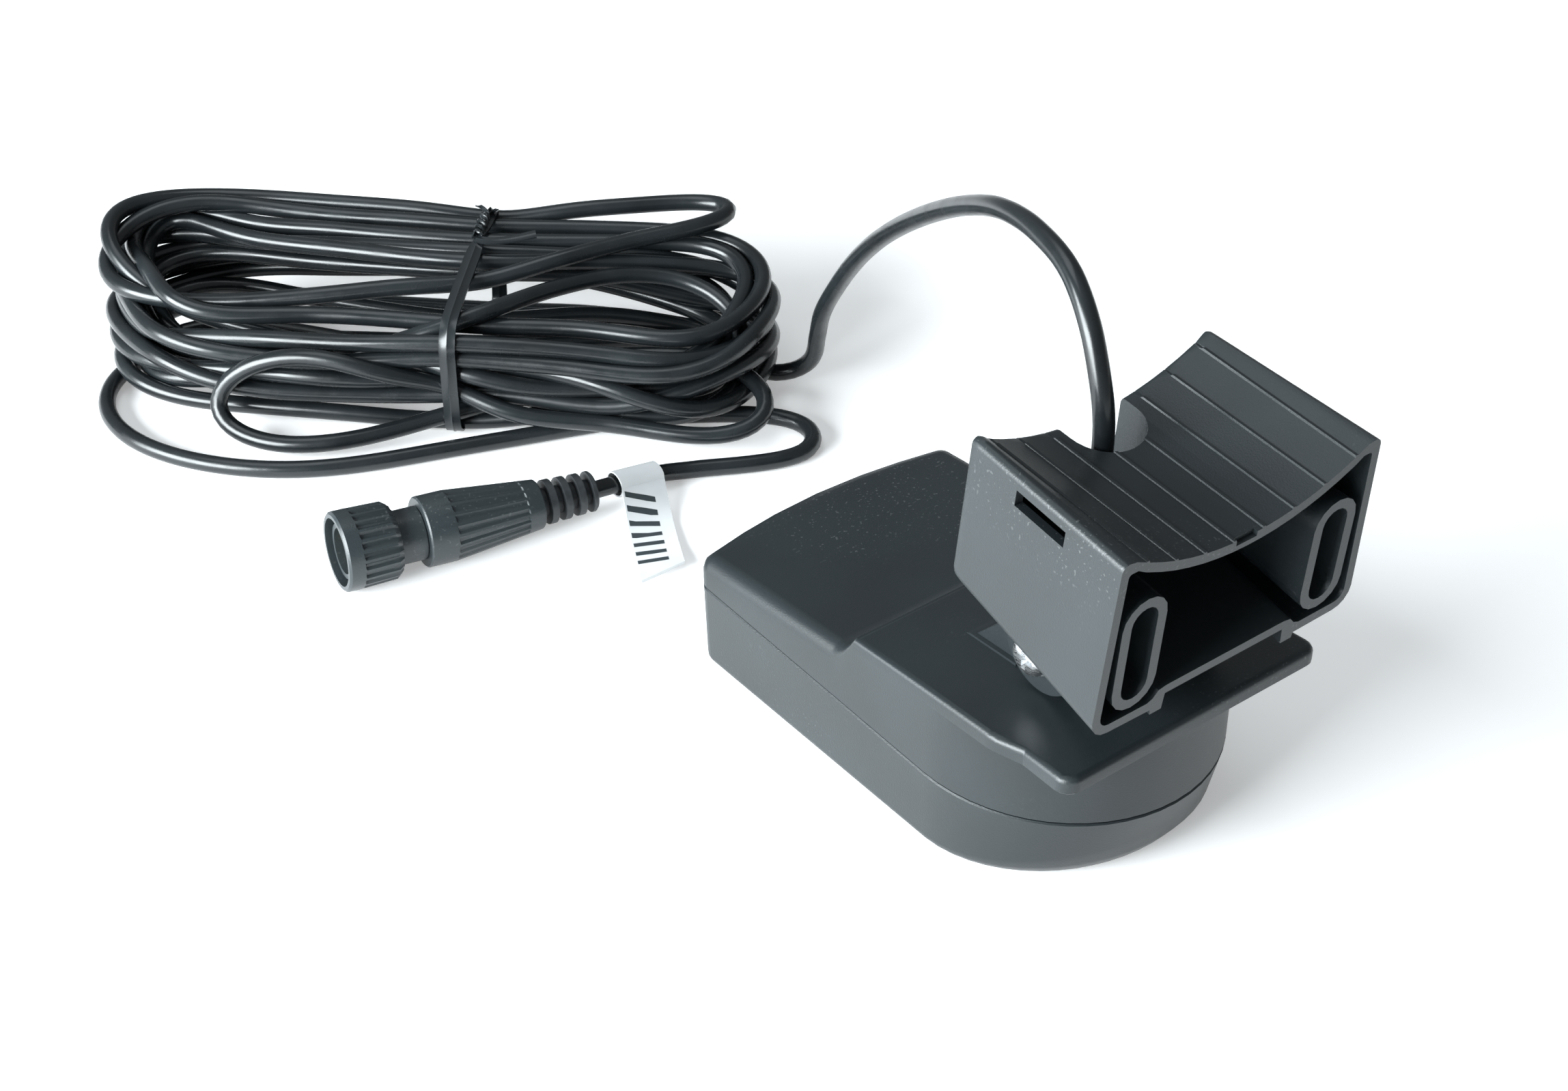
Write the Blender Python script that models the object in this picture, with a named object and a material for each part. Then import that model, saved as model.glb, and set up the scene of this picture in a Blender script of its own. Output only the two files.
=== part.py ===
"""Fish finder transducer with its trolling motor saddle, cable hank and round plug.

The model is built in millimetres and scaled to metres as each mesh is made.
X runs across the transducer, its nose points to -Y, Z is up, and the transducer's
flat bottom and the cable lie on the plane z = 0.
"""

import math

import bmesh
import bpy
from mathutils import Matrix, Vector

MM = 0.001
GAP = 0.3  # between pieces that touch on the real object

# Transducer body, lower and upper shell
BODY_HALF_WIDTH = 40.4
SEAM_HEIGHT = 22.6  # at y = 0
SEAM_SLOPE = 0.03  # the seam drops towards the nose
TAIL_Y = 62.7
TAIL_BOW = 4.5
TAIL_CORNER = 4.5
NOSE_CENTRE_Y = -25.9
NOSE_LENGTH = 42.2
BOTTOM_SHRINK = 0.8
BOTTOM_NOSE_LENGTH = 39.5
BOTTOM_EDGE = 2.6
BOTTOM_NOSE_EDGE = 11.5  # radius of the bottom edge at the tip of the nose
LOWER_STATIONS = (-8.0, 18.0, 40.0)  # where the straight sides have points
UPPER_STATIONS = (-16.0, -1.0, 0.0, 1.8, 3.6, 5.4, 7.2, 9.0, 26.0, 44.0)
SHELL_WALL = 3.2
FLOOR_THICKNESS = 3.0
ROOF_THICKNESS = 5.0
SEAM_CHAMFER = 0.35

# Sloped tail deck, the step and the flat plate that carries the mount
DECK_REAR_HEIGHT = 33.4
DECK_FRONT_HEIGHT = 38.2
DECK_EDGE = 4.2
STEP_FOOT_Y = 9.0
STEP_TOP_Y = 0.0
PLATE_HEIGHT = 45.7  # at the step
PLATE_SLOPE = 0.055  # the plate rises towards the nose
PLATE_THICKNESS = 5.0
PLATE_HALF_WIDTH = 40.6
PLATE_FRONT_Y = -71.8
PLATE_SHOULDER_Y = -48.0
PLATE_STEP_Y = -56.8
WING_HALF_WIDTH = 39.4
WING_ROOT_HALF_WIDTH = 38.6
PLATE_CORNER = 4.0
PLATE_EDGE = 1.6
PLATE_PROUD = 0.4

# Tilt axis of the mount
PIVOT_Y = -42.6
PIVOT_Z = 59.6
EAR_RADIUS = 9.0
EAR_INNER_X = 9.0
EAR_OUTER_X = 17.9
EAR_REAR_Y = -15.5
EAR_FRONT_Y = -60.0
PLINTH_HALF_WIDTH = 19.2
PLINTH_HEIGHT = 0.7
PLINTH_FRONT_Y = -32.5
PLINTH_REAR_Y = -14.5
BOLT_RADIUS = 2.4
BOLT_CLEARANCE = 0.3
WASHER_RADIUS = 5.6
WASHER_THICKNESS = 1.0
HEAD_RADIUS = 5.0
HEAD_HEIGHT = 3.4
RECESS_LENGTH = 5.4
RECESS_WIDTH = 1.3
RECESS_DEPTH = 1.9
NUT_FLATS = 8.0
NUT_HEIGHT = 5.0
BOLT_TIP = 1.2

# Saddle bracket: u across, v from the front face to the rear, w up from the arc's lowest point
SADDLE_PITCH = 4.66  # degrees, front end lower than the rear
SADDLE_LENGTH = 49.8
SADDLE_HALF_WIDTH = 37.8
SADDLE_REAR_TAPER = 2.5
SADDLE_SPLAY = 0.031
ARC_RADIUS = 66.5
ARC_END_U = 33.9
LAND_HEIGHT = 9.46
LAND_CORNER = 1.8
RIB_COUNT = 8
RIB_PITCH = 8.7
RIB_HALF_WIDTH = 0.45
RIB_HEIGHT = 0.35
RIB_REAR_V = 46.9
WALL_THICKNESS = 2.2
ARC_THICKNESS = 2.6
FLOOR_LEVEL = -38.2
FLOOR_WALL = 2.4
FLOOR_CORNER = 5.0
FLOOR_RISE = 7.5  # the floor climbs towards the rear
CHANNEL_HALF_WIDTH = 17.8
CHANNEL_LEVEL = -35.6
LIP_OUTER_U = 21.6
LIP_LEVEL = -39.9
REAR_WALL = 2.5
REAR_EDGE = 1.2
PIVOT_V = 33.9
PIVOT_W = -46.9
LUG_RADIUS = 11.0
LUG_INNER_U = 18.2
LUG_OUTER_U = 21.8
TUBE_U = 28.2
TUBE_HALF_WIDTH = 6.35
TUBE_WALL = 2.6
TUBE_TOP = -3.6
TUBE_BOTTOM = -34.2
TUBE_BORE_END = 5.0
SLOT_FRONT_V = 17.5
SLOT_REAR_V = 33.5
SLOT_LOW = 2.2
SLOT_HIGH = 6.2
SLOT_REACH_U = 33.0
NOTCH_RADIUS = 9.7
NOTCH_V = 45.0
NOTCH_WALL = 2.5
GATE_LEFT_U = -3.8
GATE_RIGHT_U = 2.3
GATE_DEPTH = 1.2

# Inside the transducer
PIEZO_RADIUS = 16.0
PIEZO_THICKNESS = 10.0
PIEZO_Y = 4.0
BACKING_THICKNESS = 3.0
RESIN_TOP_DROP = 1.5
LEAD_RADIUS = 0.6
LEAD_HOLE_RADIUS = 1.1
LEAD_OFFSET_X = 2.4

# Cable and the gland that it leaves the transducer by
CABLE_DIAMETER = 5.0
CABLE_SIDES = 2
GLAND_Y = -27.0
GLAND_FLANGE_RADIUS = 5.8
GLAND_FLANGE_HEIGHT = 2.0
GLAND_STEM_RADIUS = 4.4
GLAND_BASE_RADIUS = 4.9
GLAND_TIP_RADIUS = 3.1
GLAND_TIP_Z = 57.0
GLAND_HOLE_CLEARANCE = 0.35

ARCH_ROUTE = [
    (0.0, -27.0, 57.3), (0.0, -27.1, 60.3), (0.0, -28.3, 66.0), (-0.5, -31.7, 74.0),
    (-1.3, -34.9, 83.0), (-2.3, -37.4, 94.0), (-3.0, -38.6, 104.5), (-3.1, -38.2, 113.0),
    (-2.4, -35.2, 121.7), (-0.4, -29.1, 130.8), (3.3, -18.3, 137.4), (7.5, -3.0, 138.7),
    (12.5, 12.9, 135.0), (18.8, 30.8, 126.1), (27.7, 56.5, 109.1), (36.6, 82.5, 88.6),
    (43.4, 102.2, 69.9), (48.9, 117.9, 51.8), (52.4, 129.1, 35.9), (55.6, 135.3, 24.0),
    (57.9, 140.2, 13.8), (57.3, 144.8, 8.0), (54.9, 147.4, 6.2),
]
TAIL_ROUTE = [
    (-25.9, 131.11, 7.81), (-23.9, 130.93, 7.68), (-18.85, 131.01, 6.78), (-11.6, 131.05, 5.45),
    (-4.2, 131.09, 4.09), (3.3, 129.6, 2.7), (9.5, 126.6, 2.6), (14.7, 123.6, 2.6), (21.9, 119.9, 2.6),
    (29.1, 117.0, 2.6), (35.3, 116.2, 2.6), (41.0, 117.6, 2.6), (45.0, 121.4, 2.6),
    (46.0, 126.4, 2.8), (44.0, 131.2, 3.2), (41.2, 133.9, 3.7),
]
TUBE_STEP = 7.5  # distance between a tube's points
END_LEG = 3.0  # straight leg of a tube where it meets another piece
ARCH_ENTRY = (-3.8, 5.6)  # across the hank and up, where the arch joins it
TAIL_ENTRY = (-22.9, 4.2)

# Hank of cable: a along its runs, b across them
HANK_X = -18.0
HANK_Y = 222.0
HANK_TURN = -43.6  # degrees
HANK_UNDERSIDE = 1.4
HANK_TOP = 36.0
HANK_END_A = 99.0
HANK_FOOT_TOP = 7.5
HANK_FOOT_CORNERS = [
    (HANK_END_A, -36.5, 8.0), (HANK_END_A, 30.0, 22.0), (-96.0, 30.0, 26.0), (-96.0, -60.0, 40.0),
    (-34.0, -66.0, 50.0), (4.0, -38.3, 40.0),
]
HANK_CORNERS = [
    (HANK_END_A, -36.5, 8.0), (HANK_END_A, 30.0, 22.0), (-99.0, 33.0, 26.0), (-97.0, -18.0, 22.0),
    (-50.0, -44.0, 40.0), (4.0, -38.3, 40.0),
]
HANK_EDGE = 7.0
TIE_A = 12.0
TIE_WIDTH = 5.0
TIE_THICKNESS = 0.9
TIE_FRONT_B = -39.3
TIE_REAR_B = 32.2

# White tag, looped over the cable beside the plug, its two leaves lying on the floor
TAG_WIDTH = 14.5
TAG_THICKNESS = 0.5
TAG_LENGTH = 36.0
TAG_BORE_RADIUS = 3.4
TAG_X = -11.6
TAG_Y = 131.05
TAG_Z = 5.45
TAG_CABLE_TURN = 0.3  # degrees, heading of the cable under the tag
TAG_CABLE_DROP = 10.4
TAG_SHEAR = 0.52
TAG_LANDING = 14.0
TAG_CURL = 2.2

# Round plug: s runs along its axis from the mating rim to the cable
PLUG_X = -97.96
PLUG_Y = 145.12
PLUG_Z = 11.4
PLUG_TURN = -11.0  # degrees
PLUG_DROP = 2.8
COLLAR_RADIUS = 10.95
COLLAR_BORE = 9.3
COLLAR_LENGTH = 15.6
COLLAR_RIM = 4.4
FLUTE_COUNT = 24
FLUTE_DEPTH = 0.7
BARREL_RADIUS = 7.4
BARREL_FLANGE = 8.9
SHROUD_OUTER = 7.6
SHROUD_INNER = 6.3
SHROUD_START = 1.5
INSERT_S = 8.0
FLANGE_START = 6.5
FLANGE_END = 9.0
BACKSHELL_START = 23.0
BACKSHELL_END = 57.2
BACKSHELL_RADIUS = 9.75
BACKSHELL_END_RADIUS = 6.9
PANEL_START = 31.0
PANEL_END = 52.4
PANEL_GROOVE = 0.45
RELIEF_END = 73.2
RELIEF_CORE = 3.5
FIN_RADII = (6.2, 6.0, 5.8)
FIN_PITCH = 4.2
FIN_THICKNESS = 2.3
END_DISC_RADIUS = 5.7
CONTACT_COUNT = 5
CONTACT_RADIUS = 0.8
CONTACT_CIRCLE = 3.6
CONTACT_LENGTH = 4.0
SEAL_S = 4.6
SEAL_RADIUS = 0.6

BLACK_PLASTIC = ("black_plastic", (0.030, 0.034, 0.037), 0.48, 0.0)
BLACK_CABLE = ("black_cable", (0.012, 0.013, 0.014), 0.30, 0.0)
STEEL = ("steel", (0.62, 0.60, 0.57), 0.28, 1.0)
BRASS = ("brass", (0.70, 0.52, 0.22), 0.30, 1.0)
WHITE_TAG = ("white_tag", (0.86, 0.87, 0.87), 0.40, 0.0)
CERAMIC = ("ceramic", (0.62, 0.58, 0.50), 0.55, 0.0)
CORK = ("cork", (0.40, 0.26, 0.14), 0.90, 0.0)
RESIN = ("resin", (0.10, 0.07, 0.04), 0.35, 0.0)
RUBBER = ("rubber", (0.020, 0.020, 0.020), 0.75, 0.0)
RED_LEAD = ("red_lead", (0.45, 0.03, 0.02), 0.45, 0.0)
GREY_LEAD = ("grey_lead", (0.25, 0.26, 0.27), 0.45, 0.0)


# ---------------------------------------------------------------- helpers

def material(finish):
    """The named Principled material of a finish, made once."""
    name, colour, roughness, metallic = finish
    found = bpy.data.materials.get(name)
    if found:
        return found
    made = bpy.data.materials.new(name)
    made.use_nodes = True
    shader = made.node_tree.nodes["Principled BSDF"]
    shader.inputs["Base Color"].default_value = (*colour, 1.0)
    shader.inputs["Roughness"].default_value = roughness
    shader.inputs["Metallic"].default_value = metallic
    made.diffuse_color = (*colour, 1.0)
    return made


def solid(name, points, faces, finish, matrix=None):
    """A smooth-shaded mesh object from points in millimetres, its faces turned outward."""
    mesh = bpy.data.meshes.new(name)
    mesh.from_pydata([Vector(p) * MM for p in points], [], faces)
    work = bmesh.new()
    work.from_mesh(mesh)
    bmesh.ops.recalc_face_normals(work, faces=work.faces)
    work.to_mesh(mesh)
    work.free()
    mesh.shade_smooth()
    mesh.set_sharp_from_angle(angle=math.radians(35))
    mesh.materials.append(material(finish))
    made = bpy.data.objects.new(name, mesh)
    bpy.context.scene.collection.objects.link(made)
    if matrix:
        made.matrix_world = matrix
    return made


def skin(loops, ladders=(False, False)):
    """Points and faces of a solid skinned over closed loops of the same length.

    An end cap is one flat face, or a ladder of rungs between the two mirrored sides.
    """
    count = len(loops[0])
    points = [p for loop in loops for p in loop]
    faces = []
    for ring in range(len(loops) - 1):
        near, far = ring * count, (ring + 1) * count
        for k in range(count):
            following = (k + 1) % count
            faces.append((near + k, near + following, far + following, far + k))
    for start, ladder in ((0, ladders[0]), ((len(loops) - 1) * count, ladders[1])):
        if ladder:
            faces += [rung(start, k, count) for k in range(count // 2)]
        else:
            faces.append(tuple(range(start, start + count)))
    return points, faces


def rung(start, k, count):
    """One face between point pairs k and k + 1 of a loop that mirrors itself."""
    corners = [k, k + 1, (count - k - 1) % count, (count - k) % count]
    return tuple(start + c for c in dict.fromkeys(corners))


def prism(outline, low, high, place):
    """Points and faces of an outline extruded from low to high; place makes 3-D points."""
    return skin([[place(a, b, level) for a, b in outline] for level in (low, high)])


def circle(radius, count, centre=(0.0, 0.0)):
    """Points around a circle."""
    steps = [2 * math.pi * k / count for k in range(count)]
    return [(centre[0] + radius * math.cos(t), centre[1] + radius * math.sin(t)) for t in steps]


def lathe(profile, count):
    """A closed profile of (radius, s) turned about Z; radius 0 only at its two ends."""
    points = [(0.0, 0.0, profile[0][1])]
    rings = profile[1:-1]
    for radius, s in rings:
        points += [(x, y, s) for x, y in circle(radius, count)]
    points.append((0.0, 0.0, profile[-1][1]))
    last = len(points) - 1
    faces = []
    for k in range(count):
        following = (k + 1) % count
        faces.append((0, 1 + following, 1 + k))
        for ring in range(len(rings) - 1):
            near, far = 1 + ring * count, 1 + (ring + 1) * count
            faces.append((near + k, near + following, far + following, far + k))
        tail = 1 + (len(rings) - 1) * count
        faces.append((last, tail + k, tail + following))
    return points, faces


def turned_ring(profile, count):
    """A closed profile of (radius, s) off the axis, turned about Z."""
    loops = [[(x, y, s) for x, y in circle(radius, count)] for radius, s in profile]
    points = [p for loop in loops for p in loop]
    faces = []
    for ring in range(len(loops)):
        near, far = ring * count, ((ring + 1) % len(loops)) * count
        for k in range(count):
            following = (k + 1) % count
            faces.append((near + k, near + following, far + following, far + k))
    return points, faces


def inset(loop, distances):
    """A counter-clockwise outline moved inward along its normals, by one distance each."""
    moved = []
    count = len(loop)
    for k, (x, y) in enumerate(loop):
        before, after = Vector(loop[k - 1]), Vector(loop[(k + 1) % count])
        here = Vector((x, y))
        one, two = (here - before).normalized(), (after - here).normalized()
        normal = Vector((-(one.y + two.y), one.x + two.x)).normalized()
        stretch = max(0.5, normal.dot(Vector((-one.y, one.x))))
        moved.append(tuple(here + normal * (distances[k] / stretch)))
    return moved


def rounded(corners, segments=4):
    """An outline through (x, y, radius) corners, each turned into an arc of its radius."""
    outline = []
    count = len(corners)
    for k, (x, y, radius) in enumerate(corners):
        here = Vector((x, y))
        back = (Vector(corners[k - 1][:2]) - here).normalized()
        ahead = (Vector(corners[(k + 1) % count][:2]) - here).normalized()
        if radius <= 0:
            outline.append((x, y))
            continue
        half = back.angle(ahead) / 2
        centre = here + (back + ahead).normalized() * (radius / math.sin(half))
        first = here + back * (radius / math.tan(half)) - centre
        last = here + ahead * (radius / math.tan(half)) - centre
        for step in range(segments + 1):
            spoke = first.lerp(last, step / segments).normalized() * radius
            outline.append(tuple(centre + spoke))
    return outline


def tangent(point, centre, radius, side):
    """Where the tangent from a point touches a circle; side 1 or -1 picks which one."""
    reach = Vector(point) - Vector(centre)
    angle = math.atan2(reach.y, reach.x) + side * math.acos(radius / reach.length)
    return angle


def arc(centre, radius, start, end, segments):
    """Points along an arc, both ends included."""
    steps = [start + (end - start) * k / segments for k in range(segments + 1)]
    return [(centre[0] + radius * math.cos(t), centre[1] + radius * math.sin(t)) for t in steps]


def as_tool(tool):
    """Mark an object as a cutter or a body to join, which is not a piece of its own."""
    tool.hide_render = True
    tool.display_type = 'WIRE'
    return tool


def combine(target, tool, operation):
    """Join a tool to a piece, or cut it away."""
    step = target.modifiers.new(tool.name, 'BOOLEAN')
    step.operation = operation
    step.solver = 'EXACT'
    step.object = as_tool(tool)


def smooth_route(route, step):
    """Points along a smooth curve through a route's points, its first and last legs straight."""
    knots = [Vector(p) for p in route]
    fine = []
    for k in range(1, len(knots) - 2):
        a, b, c, d = knots[k - 1:k + 3]
        for part in range(20):
            t = part / 20
            fine.append(0.5 * (2 * b + (c - a) * t + (2 * a - 5 * b + 4 * c - d) * t * t
                               + (3 * b - a - 3 * c + d) * t ** 3))
    fine.append(knots[-2])
    lengths = [0.0]
    for near, far in zip(fine, fine[1:]):
        lengths.append(lengths[-1] + (far - near).length)
    count = max(2, round(lengths[-1] / step))
    spaced = []
    index = 0
    for k in range(count + 1):
        goal = lengths[-1] * k / count
        while index < len(fine) - 2 and lengths[index + 1] < goal:
            index += 1
        share = (goal - lengths[index]) / (lengths[index + 1] - lengths[index])
        spaced.append(fine[index].lerp(fine[index + 1], share))
    return [knots[0], *spaced, knots[-1]]


def tube(name, points, radius, resolution, finish):
    """A round tube with filled ends along a line of points."""
    curve = bpy.data.curves.new(name, 'CURVE')
    curve.dimensions = '3D'
    curve.bevel_depth = radius * MM
    curve.bevel_resolution = resolution
    curve.use_fill_caps = True
    spline = curve.splines.new('POLY')
    spline.points.add(len(points) - 1)
    for knot, place in zip(spline.points, points):
        knot.co = (*(Vector(place) * MM), 1.0)
    curve.materials.append(material(finish))
    made = bpy.data.objects.new(name, curve)
    bpy.context.scene.collection.objects.link(made)
    return made


# ---------------------------------------------------------------- transducer

def body_outline(nose_centre, nose_length, half_width, tail, stations):
    """Plan of the transducer: a blunt oval nose, straight sides and a bowed tail."""
    side = []
    for k in range(15):
        turn = math.radians(90 * k / 14)
        side.append((half_width * math.sin(turn), nose_centre - nose_length * math.cos(turn)))
    side += [(half_width, y) for y in stations]
    corner = (half_width - TAIL_CORNER, tail - TAIL_CORNER)
    side += arc(corner, TAIL_CORNER, 0.0, math.radians(84), 4)
    for share in (0.72, 0.4, 0.0):
        side.append((corner[0] * share, tail + TAIL_BOW * (1 - share ** 2)))
    return side + [(-x, y) for x, y in side[-2:0:-1]]


def seam_height(y):
    """Height of the seam between the shells."""
    return SEAM_HEIGHT + SEAM_SLOPE * y


def bottom_plan():
    """Outline of the lower shell where its walls meet the bottom edge."""
    return body_outline(NOSE_CENTRE_Y, BOTTOM_NOSE_LENGTH, BODY_HALF_WIDTH - BOTTOM_SHRINK,
                        TAIL_Y, LOWER_STATIONS)


def bottom_edge_radius(y):
    """Radius of the bottom edge, which grows towards the tip of the nose."""
    share = max(0.0, (NOSE_CENTRE_Y - y) / BOTTOM_NOSE_LENGTH)
    return BOTTOM_EDGE + (BOTTOM_NOSE_EDGE - BOTTOM_EDGE) * share ** 1.5


def cavity_inset(y):
    """How far the cavity's foot stands in from the outline: more where the edge is rounder."""
    return SHELL_WALL + 0.5 * (bottom_edge_radius(y) - BOTTOM_EDGE)


def plate_height(y):
    """Height of the flat plate, which rises a little towards the nose."""
    return PLATE_HEIGHT - PLATE_SLOPE * y


def top_height(y):
    """Height of the upper shell along its length: deck, step, then under the plate."""
    if y >= STEP_FOOT_Y:
        share = (TAIL_Y - y) / (TAIL_Y - STEP_FOOT_Y)
        return DECK_REAR_HEIGHT + (DECK_FRONT_HEIGHT - DECK_REAR_HEIGHT) * share
    crest = plate_height(min(y, STEP_TOP_Y)) - PLATE_PROUD
    if y <= STEP_TOP_Y:
        return crest
    share = (STEP_FOOT_Y - y) / (STEP_FOOT_Y - STEP_TOP_Y)
    return DECK_FRONT_HEIGHT + (crest - DECK_FRONT_HEIGHT) * share ** 2


def top_edge_radius(y):
    """Radius of the upper shell's top edge: soft on the deck, small under the plate."""
    share = min(1.0, max(0.0, (y - STEP_TOP_Y) / (STEP_FOOT_Y - STEP_TOP_Y)))
    return 1.0 + (DECK_EDGE - 1.0) * share


def transducer_lower_shell():
    """Open cup with a raked nose, its rim at the seam."""
    foot = bottom_plan()
    rim = body_outline(NOSE_CENTRE_Y, NOSE_LENGTH, BODY_HALF_WIDTH, TAIL_Y, LOWER_STATIONS)
    radii = [bottom_edge_radius(y) for x, y in foot]
    loops = []
    for turn in (90, 67, 45, 22, 0):
        angle = math.radians(turn)
        ring = inset(foot, [r * (1 - math.cos(angle)) for r in radii])
        loops.append([(x, y, r * (1 - math.sin(angle))) for (x, y), r in zip(ring, radii)])
    for distance, drop in ((0.0, SEAM_CHAMFER), (SEAM_CHAMFER, 0.0), (SHELL_WALL, 0.0)):
        ring = inset(rim, [distance] * len(rim))
        loops.append([(x, y, seam_height(y) - drop) for x, y in ring])
    cavity = inset(foot, [cavity_inset(y) for x, y in foot])
    loops.append([(x, y, FLOOR_THICKNESS) for x, y in cavity])
    return solid("transducer_lower_shell", *skin(loops), BLACK_PLASTIC)


def transducer_upper_shell():
    """Cover with the sloped deck, the plate with its wings, and the two mount ears."""
    plan = body_outline(NOSE_CENTRE_Y, NOSE_LENGTH, BODY_HALF_WIDTH, TAIL_Y, UPPER_STATIONS)

    def flat(rise, distance):
        ring = inset(plan, [distance] * len(plan))
        return [(x, y, seam_height(y) + GAP + rise) for x, y in ring]

    inner = inset(plan, [SHELL_WALL] * len(plan))
    loops = [[(x, y, top_height(y) - ROOF_THICKNESS) for x, y in inner]]
    loops += [flat(0.0, SHELL_WALL), flat(0.0, SEAM_CHAMFER), flat(SEAM_CHAMFER, 0.0)]
    radii = [top_edge_radius(y) for x, y in plan]
    for turn in (0, 30, 60, 90):
        angle = math.radians(turn)
        ring = inset(plan, [r * (1 - math.cos(angle)) for r in radii])
        loops.append([(x, y, top_height(y) - r * (1 - math.sin(angle)))
                      for (x, y), r in zip(ring, radii)])
    shell = solid("transducer_upper_shell", *skin(loops, (True, True)), BLACK_PLASTIC)
    combine(shell, plate_slab(), 'UNION')
    combine(shell, mount_plinth(), 'UNION')
    for side in (-1, 1):
        combine(shell, mount_ear(side), 'UNION')
    combine(shell, gland_hole(), 'DIFFERENCE')
    combine(shell, bolt_hole("ear_bolt_hole", 2 * EAR_OUTER_X), 'DIFFERENCE')
    return shell


def plate_slab():
    """Plate over the nose, wider than the nose so that its front corners overhang."""
    half = [
        (WING_HALF_WIDTH, PLATE_FRONT_Y, PLATE_CORNER),
        (WING_ROOT_HALF_WIDTH, PLATE_STEP_Y, 1.0),
        (PLATE_HALF_WIDTH, PLATE_SHOULDER_Y, 16.0),
        (PLATE_HALF_WIDTH, STEP_TOP_Y, 0.0),
    ]
    mirrored = [(-x, y, radius) for x, y, radius in reversed(half)]
    outline = rounded(half + mirrored)
    loops = []
    for drop, distance in ((PLATE_THICKNESS, 1.0), (PLATE_THICKNESS - 1.0, 0.0),
                           (PLATE_EDGE, 0.0), (0.5 * PLATE_EDGE, 0.13 * PLATE_EDGE),
                           (0.13 * PLATE_EDGE, 0.5 * PLATE_EDGE), (0.0, PLATE_EDGE)):
        ring = inset(outline, [distance] * len(outline))
        loops.append([(x, y, plate_height(y) - drop) for x, y in ring])
    return solid("plate_slab", *skin(loops), BLACK_PLASTIC)


def mount_plinth():
    """Low step on the plate around the rear foot of the ears."""
    outline = [
        (PLINTH_FRONT_Y, plate_height(PLINTH_FRONT_Y) - 1.5),
        (PLINTH_REAR_Y, plate_height(PLINTH_REAR_Y) - 1.5),
        (PLINTH_REAR_Y, plate_height(PLINTH_REAR_Y) - 0.5 * PLINTH_HEIGHT),
        (PLINTH_REAR_Y - 2.0, plate_height(PLINTH_REAR_Y) + PLINTH_HEIGHT),
        (PLINTH_FRONT_Y, plate_height(PLINTH_FRONT_Y) + PLINTH_HEIGHT),
    ]
    plinth = prism(outline, -PLINTH_HALF_WIDTH, PLINTH_HALF_WIDTH, lambda y, z, x: (x, y, z))
    return solid("mount_plinth", *plinth, BLACK_PLASTIC)


def mount_ear(side):
    """One of the two ears that the saddle's lugs straddle, rounded about the tilt axis."""
    centre = (PIVOT_Y, PIVOT_Z)
    rear = (EAR_REAR_Y, plate_height(EAR_REAR_Y) - 1.5)
    front = (EAR_FRONT_Y, plate_height(EAR_FRONT_Y) - 1.5)
    start = tangent(rear, centre, EAR_RADIUS, 1)
    end = tangent(front, centre, EAR_RADIUS, -1) % (2 * math.pi)
    outline = [rear, *arc(centre, EAR_RADIUS, start, end, 10), front]
    near, far = side * EAR_INNER_X, side * EAR_OUTER_X
    ear = prism(outline, near, far, lambda y, z, x: (x, y, z))
    return solid("mount_ear_left" if side < 0 else "mount_ear_right", *ear, BLACK_PLASTIC)


def gland_hole():
    """Round hole in the plate for the cable gland."""
    outline = circle(GLAND_STEM_RADIUS + GLAND_HOLE_CLEARANCE, 24, (0.0, GLAND_Y))
    hole = prism(outline, SEAM_HEIGHT, GLAND_TIP_Z, lambda x, y, z: (x, y, z))
    return solid("gland_hole", *hole, BLACK_PLASTIC)


def bolt_hole(name, reach):
    """Cross hole on the tilt axis."""
    outline = circle(BOLT_RADIUS + BOLT_CLEARANCE, 24, (PIVOT_Y, PIVOT_Z))
    hole = prism(outline, -reach, reach, lambda y, z, x: (x, y, z))
    return solid(name, *hole, BLACK_PLASTIC)


def cable_gland():
    """Stepped gland: a flange under the plate, a stem through it and a tapered nozzle."""
    underside = top_height(GLAND_Y) - ROOF_THICKNESS - GAP
    nozzle = plate_height(GLAND_Y) + 1.0
    profile = [
        (0.0, underside - GLAND_FLANGE_HEIGHT), (GLAND_FLANGE_RADIUS, underside - GLAND_FLANGE_HEIGHT),
        (GLAND_FLANGE_RADIUS, underside), (GLAND_STEM_RADIUS, underside),
        (GLAND_STEM_RADIUS, nozzle), (GLAND_BASE_RADIUS, nozzle),
        (GLAND_BASE_RADIUS, nozzle + 1.2), (GLAND_TIP_RADIUS, GLAND_TIP_Z), (0.0, GLAND_TIP_Z),
    ]
    place = Matrix.Translation(Vector((0.0, GLAND_Y, 0.0)) * MM)
    return solid("cable_gland", *lathe(profile, 24), BLACK_CABLE, place)


# ---------------------------------------------------------------- inside the transducer

def piezo_top():
    """Height of the top face of the piezo disc."""
    return FLOOR_THICKNESS + GAP + PIEZO_THICKNESS


def disc(name, radius, low, high, finish):
    """Plain disc on the piezo's axis."""
    outline = circle(radius, 32, (0.0, PIEZO_Y))
    return solid(name, *prism(outline, low, high, lambda x, y, z: (x, y, z)), finish)


def piezo_stack():
    """The piezo disc on the floor, with its cork backing above it."""
    disc("piezo_disc", PIEZO_RADIUS, FLOOR_THICKNESS + GAP, piezo_top(), CERAMIC)
    low = piezo_top() + GAP
    backing = disc("cork_backing", PIEZO_RADIUS, low, low + BACKING_THICKNESS, CORK)
    combine(backing, lead_hole("backing_lead_hole", LEAD_OFFSET_X, PIEZO_Y), 'DIFFERENCE')


def lead_hole(name, x, y):
    """Vertical hole around one lead."""
    outline = circle(LEAD_HOLE_RADIUS, 10, (x, y))
    hole = prism(outline, piezo_top() - 1.0, SEAM_HEIGHT + 5.0, lambda a, b, z: (a, b, z))
    return solid(name, *hole, RESIN)


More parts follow.
